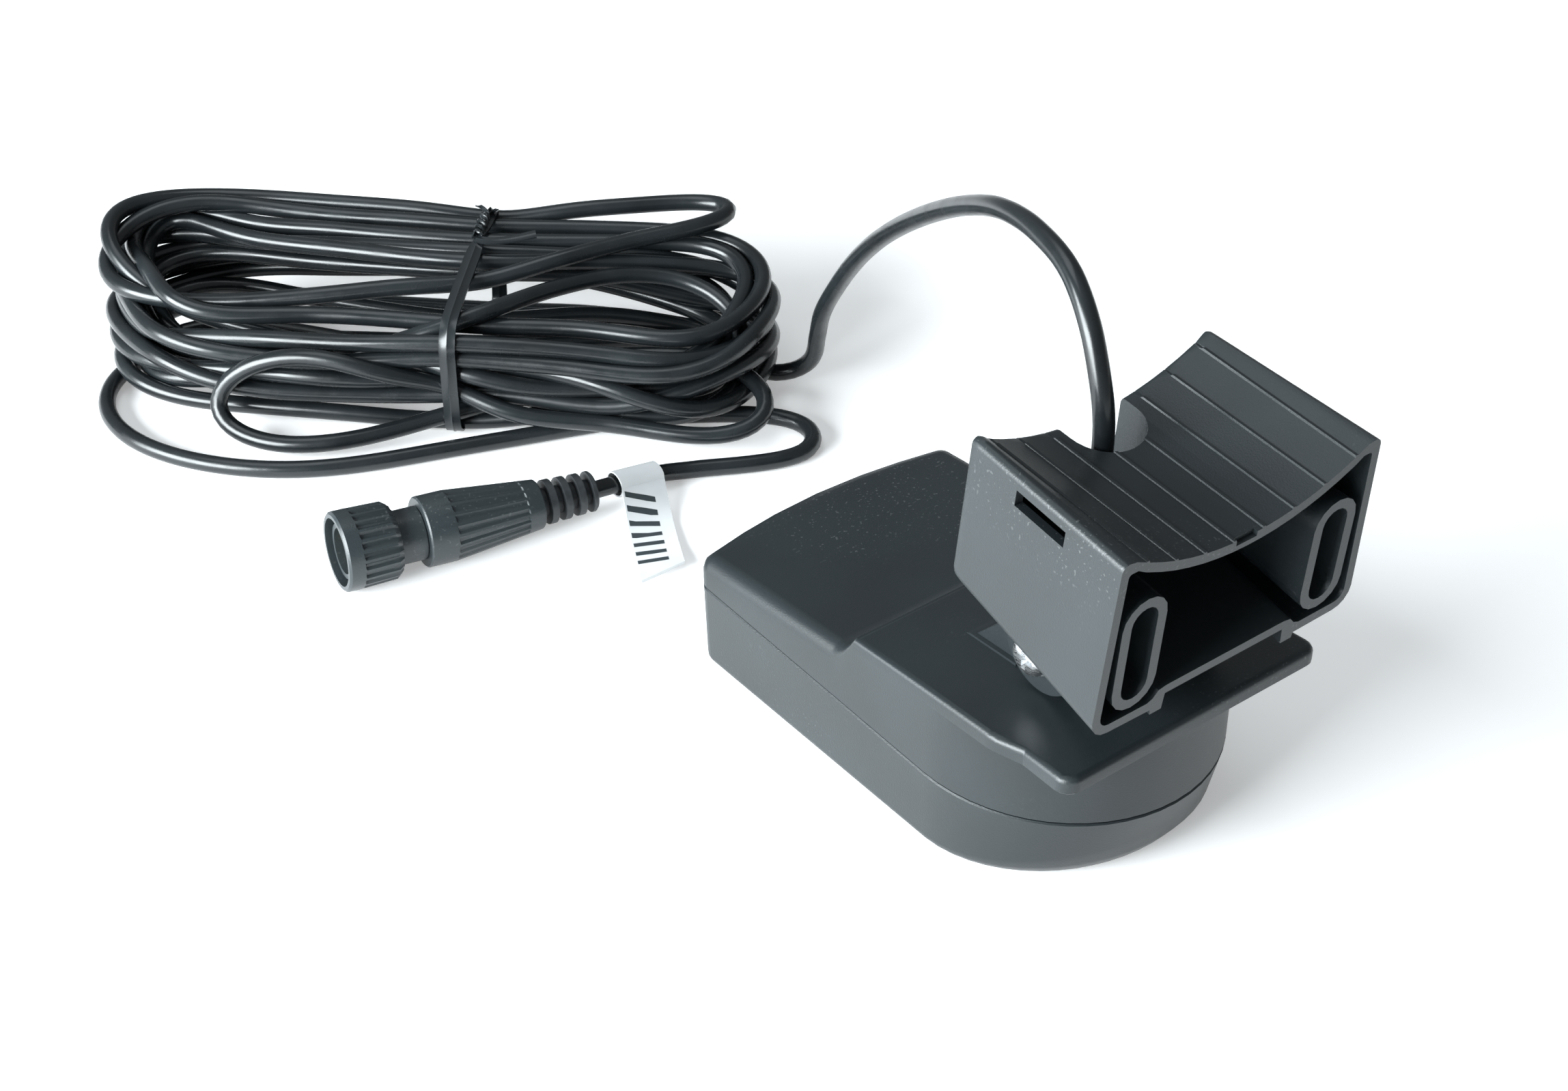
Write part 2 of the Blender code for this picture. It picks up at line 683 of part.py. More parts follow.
def side_lead_x():
    """Where the lead that runs down beside the disc lies."""
    return -(PIEZO_RADIUS + GAP + LEAD_RADIUS)


def resin_top():
    """Height of the potting resin, which is poured level."""
    return seam_height(NOSE_CENTRE_Y - NOSE_LENGTH) - RESIN_TOP_DROP


def resin_fill():
    """Potting resin that fills the lower shell around the disc."""
    foot = bottom_plan()
    ring = inset(foot, [cavity_inset(y) + 2 * GAP for x, y in foot])
    low = FLOOR_THICKNESS + GAP
    fill = solid("resin_fill", *prism(ring, low, resin_top(), lambda x, y, z: (x, y, z)), RESIN)
    pocket_top = piezo_top() + GAP + BACKING_THICKNESS + GAP
    pocket_radius = PIEZO_RADIUS + 2 * GAP + 2 * LEAD_RADIUS
    pocket = disc("resin_pocket", pocket_radius, low - 1.0, pocket_top, RESIN)
    combine(fill, pocket, 'DIFFERENCE')
    combine(fill, lead_hole("resin_lead_hole_a", LEAD_OFFSET_X, PIEZO_Y), 'DIFFERENCE')
    combine(fill, lead_hole("resin_lead_hole_b", side_lead_x(), PIEZO_Y), 'DIFFERENCE')
    return fill


def leads():
    """Two leads from the disc up through the resin to the underside of the gland."""
    gland_foot = top_height(GLAND_Y) - ROOF_THICKNESS - GAP - GLAND_FLANGE_HEIGHT - GAP
    rise = resin_top() + 1.0
    for name, start, finish, aside in (
            ("signal_lead", (LEAD_OFFSET_X, piezo_top() + GAP), RED_LEAD, LEAD_OFFSET_X),
            ("return_lead", (side_lead_x(), FLOOR_THICKNESS + 2 * GAP), GREY_LEAD, -LEAD_OFFSET_X)):
        x, low = start
        route = [(x, PIEZO_Y, low), (x, PIEZO_Y, rise),
                 ((x + aside) / 2, (PIEZO_Y + GLAND_Y) / 2, rise + 5.0),
                 (aside, GLAND_Y, gland_foot - 3.0), (aside, GLAND_Y, gland_foot)]
        tube(name, smooth_route(route, 3.0), LEAD_RADIUS, 1, finish)


# ---------------------------------------------------------------- tilt bolt

def bolt_stack():
    """Bolt on the tilt axis with a washer under its head and one under its nut."""
    outer = LUG_OUTER_U + GAP
    seat = outer + WASHER_THICKNESS + GAP
    end = seat + NUT_HEIGHT + BOLT_TIP
    turn = Matrix.Translation(Vector((0.0, PIVOT_Y, PIVOT_Z)) * MM) @ Matrix.Rotation(math.pi / 2, 4, 'Y')
    profile = [
        (0.0, -seat - HEAD_HEIGHT), (0.62 * HEAD_RADIUS, -seat - HEAD_HEIGHT + 0.15),
        (0.88 * HEAD_RADIUS, -seat - HEAD_HEIGHT + 0.9), (HEAD_RADIUS, -seat - 0.45 * HEAD_HEIGHT),
        (HEAD_RADIUS, -seat), (BOLT_RADIUS, -seat), (BOLT_RADIUS, end - 0.6),
        (BOLT_RADIUS - 0.6, end), (0.0, end),
    ]
    bolt = solid("tilt_bolt", *lathe(profile, 28), STEEL, turn)
    depth = -seat - HEAD_HEIGHT
    for index, (long, wide) in enumerate(((RECESS_LENGTH, RECESS_WIDTH), (RECESS_WIDTH, RECESS_LENGTH))):
        loops = []
        for level, share in ((depth - 1.0, 1.0), (depth + 0.15, 1.0), (depth + RECESS_DEPTH, 0.55)):
            a, b = long / 2 * share, wide / 2 * share
            loops.append([(a, b, level), (-a, b, level), (-a, -b, level), (a, -b, level)])
        cross = solid(f"recess_{index}", *skin(loops), STEEL, turn)
        combine(bolt, cross, 'DIFFERENCE')
    bore = BOLT_RADIUS + BOLT_CLEARANCE
    for name, low in (("head_washer", -outer - WASHER_THICKNESS), ("nut_washer", outer)):
        high = low + WASHER_THICKNESS
        ring = [(bore, low), (WASHER_RADIUS, low), (WASHER_RADIUS, high), (bore, high)]
        solid(name, *turned_ring(ring, 28), STEEL, turn)
    across = NUT_FLATS / 2
    hexagon = circle(across / math.cos(math.pi / 6), 6)
    hole = circle(bore / math.cos(math.pi / 6), 6)
    loops = []
    for outline, level in ((hole, seat), (hexagon, seat), (hexagon, seat + NUT_HEIGHT), (hole, seat + NUT_HEIGHT)):
        loops.append([(x, y, level) for x, y in outline])
    points = [p for loop in loops for p in loop]
    faces = [(r * 6 + k, r * 6 + (k + 1) % 6, (r + 1) % 4 * 6 + (k + 1) % 6, (r + 1) % 4 * 6 + k)
             for r in range(4) for k in range(6)]
    solid("tilt_nut", points, faces, STEEL, turn)


# ---------------------------------------------------------------- saddle bracket

def arc_height(u):
    """Height of the saddle's hollow top above its lowest point."""
    return ARC_RADIUS - math.sqrt(ARC_RADIUS ** 2 - u ** 2)


def outer_section(share, ribs=1.0):
    """Outer outline of the saddle across its length; share runs from 0 front to 1 rear."""
    edge = SADDLE_HALF_WIDTH - SADDLE_REAR_TAPER * share
    rise = FLOOR_RISE * share
    low = FLOOR_LEVEL + rise
    foot = edge + SADDLE_SPLAY * (LAND_HEIGHT - low)
    half = [(0.0, 0.0)]
    for k in range(RIB_COUNT // 2):
        u = (k + 0.5) * RIB_PITCH
        half.append((u - RIB_HALF_WIDTH, arc_height(u - RIB_HALF_WIDTH)))
        half.append((u - 0.7 * RIB_HALF_WIDTH, arc_height(u) + RIB_HEIGHT * ribs))
        half.append((u + 0.7 * RIB_HALF_WIDTH, arc_height(u) + RIB_HEIGHT * ribs))
        half.append((u + RIB_HALF_WIDTH, arc_height(u + RIB_HALF_WIDTH)))
        if k < RIB_COUNT // 2 - 1:
            half.append((u + RIB_PITCH / 2, arc_height(u + RIB_PITCH / 2)))
    half.append((ARC_END_U - 1.2 * share, LAND_HEIGHT - 0.35))
    corner = (edge - LAND_CORNER, LAND_HEIGHT - LAND_CORNER)
    half += arc(corner, LAND_CORNER, math.pi / 2, 0.0, 3)
    corner = (foot - FLOOR_CORNER, low + FLOOR_CORNER)
    half += arc(corner, FLOOR_CORNER, 0.0, -math.pi / 2, 4)
    half += [(LIP_OUTER_U + 0.2, low - 0.3), (LIP_OUTER_U, LIP_LEVEL + rise),
             (LUG_INNER_U, LIP_LEVEL + rise), (CHANNEL_HALF_WIDTH, CHANNEL_LEVEL + rise),
             (0.0, CHANNEL_LEVEL + rise)]
    return mirrored_section(half)


def inner_section(share):
    """Outline of the saddle's hollow, with a point for each point of the outer outline."""
    edge = SADDLE_HALF_WIDTH - SADDLE_REAR_TAPER * share - WALL_THICKNESS
    rise = FLOOR_RISE * share
    low = FLOOR_LEVEL + rise + FLOOR_WALL
    foot = edge + SADDLE_SPLAY * (LAND_HEIGHT - low)
    half = [(0.0, -ARC_THICKNESS)]
    for k in range(RIB_COUNT // 2):
        u = (k + 0.5) * RIB_PITCH
        for step in (-1.0, -0.7, 0.7, 1.0):
            here = u + step * RIB_HALF_WIDTH
            half.append((here, arc_height(here) - ARC_THICKNESS))
        if k < RIB_COUNT // 2 - 1:
            half.append((u + RIB_PITCH / 2, arc_height(u + RIB_PITCH / 2) - ARC_THICKNESS))
    half.append((edge - 2.6, LAND_HEIGHT - 3.1))
    corner = (edge - 0.9, LAND_HEIGHT - 4.0)
    half += arc(corner, 0.9, math.pi / 2, 0.0, 3)
    radius = FLOOR_CORNER - WALL_THICKNESS
    corner = (foot - radius, low + radius)
    half += arc(corner, radius, 0.0, -math.pi / 2, 4)
    half += [(LIP_OUTER_U + 1.4, low - 0.1), (LIP_OUTER_U - 0.2, low + 0.6),
             (LUG_INNER_U + 1.8, low + 2.2), (CHANNEL_HALF_WIDTH, CHANNEL_LEVEL + FLOOR_WALL + rise),
             (0.0, CHANNEL_LEVEL + FLOOR_WALL + rise)]
    return mirrored_section(half)


def mirrored_section(half):
    """Whole outline from its right half, clockwise seen from the front."""
    return half + [(-u, w) for u, w in half[-2:0:-1]]


def saddle_point(u, w, v):
    """A saddle point measured from the tilt axis."""
    return (u, v - PIVOT_V, w - PIVOT_W)


def saddle_loop(outline, v):
    return [saddle_point(u, w, v) for u, w in outline]


def saddle_bracket():
    """Hollow saddle: ribbed arc on top, open front, lugs below, cable notch at the rear."""
    turn = Matrix.Translation(Vector((0.0, PIVOT_Y, PIVOT_Z)) * MM) \
        @ Matrix.Rotation(math.radians(SADDLE_PITCH), 4, 'X')
    loops = []
    rear = outer_section(1.0, 0.0)
    for v, distance in ((SADDLE_LENGTH, REAR_EDGE), (SADDLE_LENGTH - 0.3 * REAR_EDGE, 0.3 * REAR_EDGE),
                        (SADDLE_LENGTH - REAR_EDGE, 0.0)):
        shrunk = inset(rear[::-1], [distance] * len(rear))[::-1]
        loops.append(saddle_loop(shrunk, v))
    rib_share = RIB_REAR_V / SADDLE_LENGTH
    loops.append(saddle_loop(outer_section(rib_share, 0.0), RIB_REAR_V))
    loops.append(saddle_loop(outer_section(rib_share - 0.012, 1.0), RIB_REAR_V - 0.6))
    loops.append(saddle_loop(outer_section(0.0), 0.0))
    loops.append(saddle_loop(inner_section(0.0), 0.0))
    deep = SADDLE_LENGTH - REAR_WALL
    loops.append(saddle_loop(inner_section(deep / SADDLE_LENGTH), deep))
    bracket = solid("saddle_bracket", *skin(loops), BLACK_PLASTIC, turn)
    for side, name in ((-1, "left"), (1, "right")):
        combine(bracket, saddle_lug(side, name, turn), 'UNION')
        combine(bracket, saddle_tube(side, name, turn), 'UNION')
    combine(bracket, notch_wall(turn), 'UNION')
    combine(bracket, notch_cut(turn), 'DIFFERENCE')
    for side, name in ((-1, "left"), (1, "right")):
        combine(bracket, strap_slot(side, name, turn), 'DIFFERENCE')
    combine(bracket, gate_cut(turn), 'DIFFERENCE')
    combine(bracket, bolt_hole("lug_bolt_hole", 2 * LUG_OUTER_U), 'DIFFERENCE')
    return bracket


def floor_middle(v):
    """Height of the middle of the saddle's floor wall."""
    return FLOOR_LEVEL + FLOOR_WALL / 2 + FLOOR_RISE * v / SADDLE_LENGTH


def saddle_lug(side, name, turn):
    """Round lug below the floor that the tilt bolt passes through."""
    centre = (PIVOT_V, PIVOT_W)
    front_v, rear_v = 4.0, SADDLE_LENGTH - REAR_WALL
    front, rear = (front_v, floor_middle(front_v)), (rear_v, floor_middle(rear_v))
    start = tangent(front, centre, LUG_RADIUS, 1)
    end = tangent(rear, centre, LUG_RADIUS, -1) + 2 * math.pi
    outline = [rear, front, *arc(centre, LUG_RADIUS, start, end, 18)]
    near, far = side * LUG_INNER_U, side * LUG_OUTER_U
    lug = prism(outline, near, far, lambda v, w, u: saddle_point(u, w, v))
    return solid(f"saddle_lug_{name}", *lug, BLACK_PLASTIC, turn)


def obround(centre, half_width, low, high):
    """Upright outline with round ends."""
    top = arc((centre, high - half_width), half_width, 0.0, math.pi, 8)
    bottom = arc((centre, low + half_width), half_width, math.pi, 2 * math.pi, 8)
    return top + bottom


def saddle_tube(side, name, turn):
    """Obround tube that stands forward from the rear wall, open at the front."""
    loops = []
    for v, wall in ((SADDLE_LENGTH - 1.2, 0.0), (0.05, 0.0), (0.05, TUBE_WALL),
                    (SADDLE_LENGTH - TUBE_BORE_END, TUBE_WALL)):
        share = v / SADDLE_LENGTH
        centre = side * (TUBE_U - SADDLE_REAR_TAPER * share)
        low = TUBE_BOTTOM + FLOOR_RISE * share + wall
        loops.append(saddle_loop(obround(centre, TUBE_HALF_WIDTH - wall, low, TUBE_TOP - wall), v))
    return solid(f"saddle_tube_{name}", *skin(loops), BLACK_PLASTIC, turn)


def notch_outline(radius, rear_v):
    """U-shaped plan of the cable notch, open to the rear."""
    return [(radius, rear_v), *arc((0.0, NOTCH_V), radius, 0.0, -math.pi, 16), (-radius, rear_v)]


def notch_wall(turn):
    """Wall around the cable notch, from the saddle's floor to its arc."""
    outline = notch_outline(NOTCH_RADIUS + NOTCH_WALL, SADDLE_LENGTH - 0.6)
    loops = []
    for top in (False, True):
        loop = []
        for u, v in outline:
            floor = CHANNEL_LEVEL + FLOOR_WALL / 2 + FLOOR_RISE * v / SADDLE_LENGTH
            loop.append(saddle_point(u, arc_height(u) - ARC_THICKNESS / 2 if top else floor, v))
        loops.append(loop)
    points, faces = skin(loops, (False, False))
    count = len(outline)
    faces = [face for face in faces if len(face) == 4]
    faces += [tuple(start + c for c in (k, k + 1, count - k - 2, count - k - 1))
              for start in (0, count) for k in range(count // 2 - 1)]
    if count % 2:
        middle = count // 2
        faces += [(start + middle - 1, start + middle, start + middle + 1) for start in (0, count)]
    return solid("notch_wall", points, faces, BLACK_PLASTIC, turn)


def notch_cut(turn):
    """What is cut away to pass the cable."""
    outline = notch_outline(NOTCH_RADIUS, SADDLE_LENGTH + 5.0)
    cut = prism(outline, PIVOT_W, LAND_HEIGHT, lambda u, v, w: saddle_point(u, w, v))
    return solid("notch_cut", *cut, BLACK_PLASTIC, turn)


def strap_slot(side, name, turn):
    """Slot in a side wall for the clamp strap."""
    outline = [(SLOT_FRONT_V, SLOT_LOW), (SLOT_REAR_V, SLOT_LOW),
               (SLOT_REAR_V, SLOT_HIGH), (SLOT_FRONT_V, SLOT_HIGH)]
    near, far = side * SLOT_REACH_U, side * (SADDLE_HALF_WIDTH + 5.0)
    slot = prism(outline, near, far, lambda v, w, u: saddle_point(u, w, v))
    return solid(f"strap_slot_{name}", *slot, BLACK_PLASTIC, turn)


def gate_cut(turn):
    """Shallow break where the moulding gate was, in the middle of the front edge."""
    outline = [(GATE_LEFT_U, -GATE_DEPTH), (GATE_RIGHT_U, -GATE_DEPTH),
               (GATE_RIGHT_U, GATE_DEPTH), (GATE_LEFT_U, GATE_DEPTH)]
    cut = prism(outline, -1.0, GATE_DEPTH, lambda u, w, v: saddle_point(u, w, v))
    return solid("gate_cut", *cut, BLACK_PLASTIC, turn)


# ---------------------------------------------------------------- plug

def plug_matrix():
    """Turns the plug's own +Z along its axis, away from the mating rim."""
    heading = math.radians(PLUG_TURN)
    drop = math.radians(PLUG_DROP)
    along = Vector((math.cos(heading) * math.cos(drop), math.sin(heading) * math.cos(drop), -math.sin(drop)))
    turn = along.to_track_quat('Z', 'Y').to_matrix().to_4x4()
    return Matrix.Translation(Vector((PLUG_X, PLUG_Y, PLUG_Z)) * MM) @ turn


def fluted(radius, depth, s, count, steps=4):
    """Ring of points with shallow grooves pressed into it."""
    ring = []
    for k in range(count * steps):
        turn = 2 * math.pi * k / (count * steps)
        reach = radius - (depth if k % steps in (2, 3) else 0.0)
        ring.append((reach * math.cos(turn), reach * math.sin(turn), s))
    return ring


def coupling_collar(place):
    """Turning collar with a fluted grip and a plain rim."""
    flutes = FLUTE_COUNT
    lip = BARREL_RADIUS + GAP + 0.1
    bore_end = COLLAR_LENGTH - 3.2
    loops = [
        fluted(COLLAR_BORE, 0.0, 0.0, flutes), fluted(COLLAR_RADIUS - 0.6, 0.0, 0.0, flutes),
        fluted(COLLAR_RADIUS, 0.0, 0.6, flutes), fluted(COLLAR_RADIUS, 0.0, COLLAR_RIM, flutes),
        fluted(COLLAR_RADIUS, FLUTE_DEPTH, COLLAR_RIM + 0.3, flutes),
        fluted(COLLAR_RADIUS - 0.3, FLUTE_DEPTH, COLLAR_LENGTH - 1.6, flutes),
        fluted(COLLAR_RADIUS - 1.5, 0.3, COLLAR_LENGTH, flutes),
        fluted(lip, 0.0, COLLAR_LENGTH, flutes), fluted(lip, 0.0, bore_end, flutes),
        fluted(COLLAR_BORE, 0.0, bore_end, flutes),
    ]
    points = [p for loop in loops for p in loop]
    count = len(loops[0])
    faces = []
    for ring in range(len(loops)):
        near, far = ring * count, (ring + 1) % len(loops) * count
        faces += [(near + k, near + (k + 1) % count, far + (k + 1) % count, far + k) for k in range(count)]
    return solid("coupling_collar", points, faces, BLACK_PLASTIC, place)


def plug_barrel(place):
    """Barrel behind the collar, with the shroud around the contacts."""
    profile = [
        (0.0, INSERT_S), (SHROUD_INNER, INSERT_S), (SHROUD_INNER, SHROUD_START),
        (SHROUD_OUTER, SHROUD_START), (SHROUD_OUTER, FLANGE_START), (BARREL_FLANGE, FLANGE_START),
        (BARREL_FLANGE, FLANGE_END), (BARREL_RADIUS, FLANGE_END), (BARREL_RADIUS, BACKSHELL_START),
        (0.0, BACKSHELL_START),
    ]
    return solid("plug_barrel", *lathe(profile, 40), BLACK_PLASTIC, place)


def plug_backshell(place):
    """Tapered grip with pressed panels."""
    start = BACKSHELL_START + GAP
    slope = (BACKSHELL_RADIUS - BACKSHELL_END_RADIUS) / (BACKSHELL_END - PANEL_START)

    def radius(s):
        return BACKSHELL_RADIUS - slope * max(0.0, s - PANEL_START)

    loops = [
        fluted(BACKSHELL_RADIUS - 0.4, 0.0, start, 20),
        fluted(BACKSHELL_RADIUS, 0.0, start + 0.4, 20),
        fluted(BACKSHELL_RADIUS, 0.0, PANEL_START, 20),
        fluted(radius(PANEL_START), PANEL_GROOVE, PANEL_START + 0.3, 20),
        fluted(radius(PANEL_END), PANEL_GROOVE, PANEL_END - 0.3, 20),
        fluted(radius(PANEL_END), 0.0, PANEL_END, 20),
        fluted(radius(BACKSHELL_END), 0.0, BACKSHELL_END - 0.4, 20),
        fluted(radius(BACKSHELL_END) - 0.4, 0.0, BACKSHELL_END, 20),
    ]
    return solid("plug_backshell", *skin(loops), BLACK_PLASTIC, place)


def strain_relief(place):
    """Flexible relief with fins and an end disc."""
    start = BACKSHELL_END + GAP
    profile = [(0.0, start), (RELIEF_CORE + 0.6, start)]
    for index, fin in enumerate(FIN_RADII):
        s = start + 1.5 + index * FIN_PITCH
        core = RELIEF_CORE + 0.5 - 0.15 * index
        profile += [(core, s), (fin, s + 0.2), (fin, s + FIN_THICKNESS - 0.2), (core, s + FIN_THICKNESS)]
    s = start + 1.5 + len(FIN_RADII) * FIN_PITCH
    profile += [(RELIEF_CORE, s), (END_DISC_RADIUS, s + 0.2), (END_DISC_RADIUS, RELIEF_END - 0.5),
                (END_DISC_RADIUS - 0.5, RELIEF_END), (0.0, RELIEF_END)]
    return solid("strain_relief", *lathe(profile, 28), RUBBER, place)


def plug_contacts(place):
    """Contact pins on a circle, standing in the shroud."""
    root = INSERT_S - GAP
    for index, (x, y) in enumerate(circle(CONTACT_CIRCLE, CONTACT_COUNT)):
        profile = [(0.0, root - CONTACT_LENGTH), (0.5 * CONTACT_RADIUS, root - CONTACT_LENGTH + 0.1),
                   (CONTACT_RADIUS, root - CONTACT_LENGTH + 0.7), (CONTACT_RADIUS, root), (0.0, root)]
        pin = place @ Matrix.Translation(Vector((x, y, 0.0)) * MM)
        solid(f"contact_pin_{index + 1}", *lathe(profile, 12), BRASS, pin)


def plug_seal(place):
    """Rubber ring between the shroud and the collar."""
    middle = SHROUD_OUTER + GAP + SEAL_RADIUS
    ring = [(middle + a, SEAL_S + b) for a, b in circle(SEAL_RADIUS, 8)]
    return solid("plug_seal", *turned_ring(ring, 40), RUBBER, place)


# ---------------------------------------------------------------- cable

def hank_matrix():
    """Places the hank's own axes, a along the runs and b across them."""
    return Matrix.Translation(Vector((HANK_X, HANK_Y, 0.0)) * MM) \
        @ Matrix.Rotation(math.radians(HANK_TURN), 4, 'Z')


def hank_entry(place, entry):
    """Last straight leg of a tube that runs into the end of the hank."""
    b, z = entry
    ends = [Vector((HANK_END_A + GAP + leg, b, z)) for leg in (END_LEG, 0.0)]
    return [tuple((place @ (end * MM)) / MM) for end in ends]


def cable_hank(place):
    """Outer shape of the tied turns of cable, with the loose turns at its foot."""
    foot = rounded(HANK_FOOT_CORNERS, 6)
    outline = rounded(HANK_CORNERS, 6)
    crown = inset(outline, [HANK_EDGE] * len(outline))
    levels = ((foot, HANK_UNDERSIDE), (foot, HANK_FOOT_TOP), (outline, HANK_FOOT_TOP + 2.0),
              (outline, HANK_TOP - HANK_EDGE), (crown, HANK_TOP))
    hank = skin([[(a, b, z) for a, b in plan] for plan, z in levels])
    return solid("cable_hank", *hank, BLACK_CABLE, place)


def hank_tie(place):
    """Flat tie around the turns."""
    low, high = HANK_UNDERSIDE - GAP, HANK_TOP + GAP
    square = rounded([(TIE_REAR_B, low, 0.6), (TIE_REAR_B, high, 0.6),
                      (TIE_FRONT_B, high, 0.6), (TIE_FRONT_B, low, 0.6)])
    outer = inset(square, [-TIE_THICKNESS] * len(square))
    near, far = TIE_A - TIE_WIDTH / 2, TIE_A + TIE_WIDTH / 2
    loops = [[(a, b, z) for b, z in outline] for outline, a in
             ((square, near), (outer, near), (outer, far), (square, far))]
    points = [p for loop in loops for p in loop]
    count = len(square)
    faces = []
    for ring in range(4):
        start, end = ring * count, (ring + 1) % 4 * count
        faces += [(start + k, start + (k + 1) % count, end + (k + 1) % count, end + k) for k in range(count)]
    return solid("hank_tie", points, faces, BLACK_CABLE, place)


def tag_point(p, q, along):
    """A tag point: p across the cable, q up, then along the cable, easing onto the floor."""
    drop = math.radians(TAG_CABLE_DROP)
    out = max(0.0, -p - TAG_BORE_RADIUS)
    share = min(1.0, out / TAG_LANDING)
    ease = share * share * (3 - 2 * share)
    tilt = -along * math.sin(drop) * (1 - ease)
    sink = (1.2 * TAG_THICKNESS + GAP - TAG_Z) * ease
    curl = TAG_CURL * max(0.0, (out - TAG_LANDING) / (TAG_LENGTH - TAG_LANDING)) ** 2
    return (along * math.cos(drop) - TAG_SHEAR * out, p, q + tilt + sink + curl)


def cable_tag():
    """White flag tag: a loop around the cable and two leaves pressed together."""
    bore, wall = TAG_BORE_RADIUS, TAG_THICKNESS
    spans = [TAG_LENGTH * share for share in (1.0, 0.75, 0.5, 0.36, 0.25, 0.16)]
    loop = arc((0.0, 0.0), bore + wall, math.radians(-168), math.radians(168), 16)
    hole = arc((0.0, 0.0), bore, math.radians(-168), math.radians(168), 16)
    outline = [(-d, -wall) for d in spans] + loop + [(-d, wall) for d in reversed(spans)]
    points = [tag_point(p, q, along) for along in (-TAG_WIDTH / 2, TAG_WIDTH / 2)
              for p, q in outline + hole]
    rim, bend, leaf = len(outline), len(hole), len(spans)
    far = rim + bend
    faces = [(k, (k + 1) % rim, far + (k + 1) % rim, far + k) for k in range(rim)]
    faces += [(rim + k, rim + (k + 1) % bend, far + rim + (k + 1) % bend, far + rim + k)
              for k in range(bend)]
    for end in (0, far):
        faces += [tuple(end + c for c in (k, k + 1, rim - 2 - k, rim - 1 - k)) for k in range(leaf)]
        faces += [tuple(end + c for c in (leaf + k, leaf + k + 1, rim + k + 1, rim + k))
                  for k in range(bend - 1)]
        faces.append(tuple(end + c for c in (leaf, leaf + bend - 1, rim + bend - 1, rim)))
    place = Matrix.Translation(Vector((TAG_X, TAG_Y, TAG_Z)) * MM) \
        @ Matrix.Rotation(math.radians(TAG_CABLE_TURN), 4, 'Z')
    return solid("cable_tag", points, faces, WHITE_TAG, place)


def build():
    for old in list(bpy.context.scene.objects):
        bpy.data.objects.remove(old, do_unlink=True)
    transducer_lower_shell()
    transducer_upper_shell()
    cable_gland()
    piezo_stack()
    resin_fill()
    leads()
    bolt_stack()
    saddle_bracket()
    place = plug_matrix()
    coupling_collar(place)
    plug_barrel(place)
    plug_backshell(place)
    strain_relief(place)
    plug_contacts(place)
    plug_seal(place)
    hank_place = hank_matrix()
    cable_hank(hank_place)
    hank_tie(hank_place)
    cable_tag()
    for name, route, entry in (("cable_arch", ARCH_ROUTE, ARCH_ENTRY),
                               ("cable_tail", TAIL_ROUTE, TAIL_ENTRY)):
        points = smooth_route(route + hank_entry(hank_place, entry), TUBE_STEP)
        tube(name, points, CABLE_DIAMETER / 2, CABLE_SIDES, BLACK_CABLE)
    centre_on_origin()


def centre_on_origin():
    """Shift everything so that the transducer with its saddle is centred fore and aft."""
    pitch = math.radians(SADDLE_PITCH)
    front = PIVOT_Y - PIVOT_V * math.cos(pitch) - (LAND_HEIGHT - PIVOT_W) * math.sin(pitch)
    rear = TAIL_Y + TAIL_BOW
    for thing in bpy.context.scene.objects:
        thing.location.y -= (front + rear) / 2 * MM


build()
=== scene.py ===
"""Looks of the fish finder transducer: its plastic, its cable, its tag and the studio around it.

The cable is one smooth curve from the gland to the plug. Its hank is wound turn by turn
and then relaxed, so that its turns lie on each other and not through each other.
"""

import math

import bmesh
import bpy
import numpy as np
from mathutils import Matrix, Vector


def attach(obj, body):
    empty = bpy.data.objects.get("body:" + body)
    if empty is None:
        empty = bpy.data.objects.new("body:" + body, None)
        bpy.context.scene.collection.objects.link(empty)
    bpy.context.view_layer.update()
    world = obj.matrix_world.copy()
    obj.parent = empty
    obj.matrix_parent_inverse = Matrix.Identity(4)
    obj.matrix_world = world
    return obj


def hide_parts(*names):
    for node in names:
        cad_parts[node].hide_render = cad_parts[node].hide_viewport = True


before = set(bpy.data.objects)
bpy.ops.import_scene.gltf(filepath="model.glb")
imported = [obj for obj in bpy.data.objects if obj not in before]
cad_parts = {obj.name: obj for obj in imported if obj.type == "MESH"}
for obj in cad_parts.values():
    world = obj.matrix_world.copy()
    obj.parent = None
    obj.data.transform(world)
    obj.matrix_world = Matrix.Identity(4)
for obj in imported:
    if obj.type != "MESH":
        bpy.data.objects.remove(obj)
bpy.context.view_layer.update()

MM = 0.001
SHIFT_Y = 6.883389  # mm, the CAD's own shift, which centres the transducer fore and aft


def place(name, data):
    """A new object in the scene."""
    made = bpy.data.objects.new(name, data)
    bpy.context.scene.collection.objects.link(made)
    return made


def metres(points):
    """The CAD's millimetres to the frame's metres."""
    return (np.asarray(points) + (0.0, SHIFT_Y, 0.0)) * MM


# ---------------------------------------------------------------- camera

CAMERA_AT = (-0.3556, -0.3763166, 0.4408)  # metres
CAMERA_LOOK = (0.4895, 0.6363, -0.5962)
CAMERA_ROLL = -0.219  # degrees
CAMERA_LENS = 62.58  # mm, on a sensor as wide as the next line says
SENSOR_WIDTH = 36.0
NEAR_LIMIT = 0.01  # metres
UP = Vector((0.0, 0.0, 1.0))


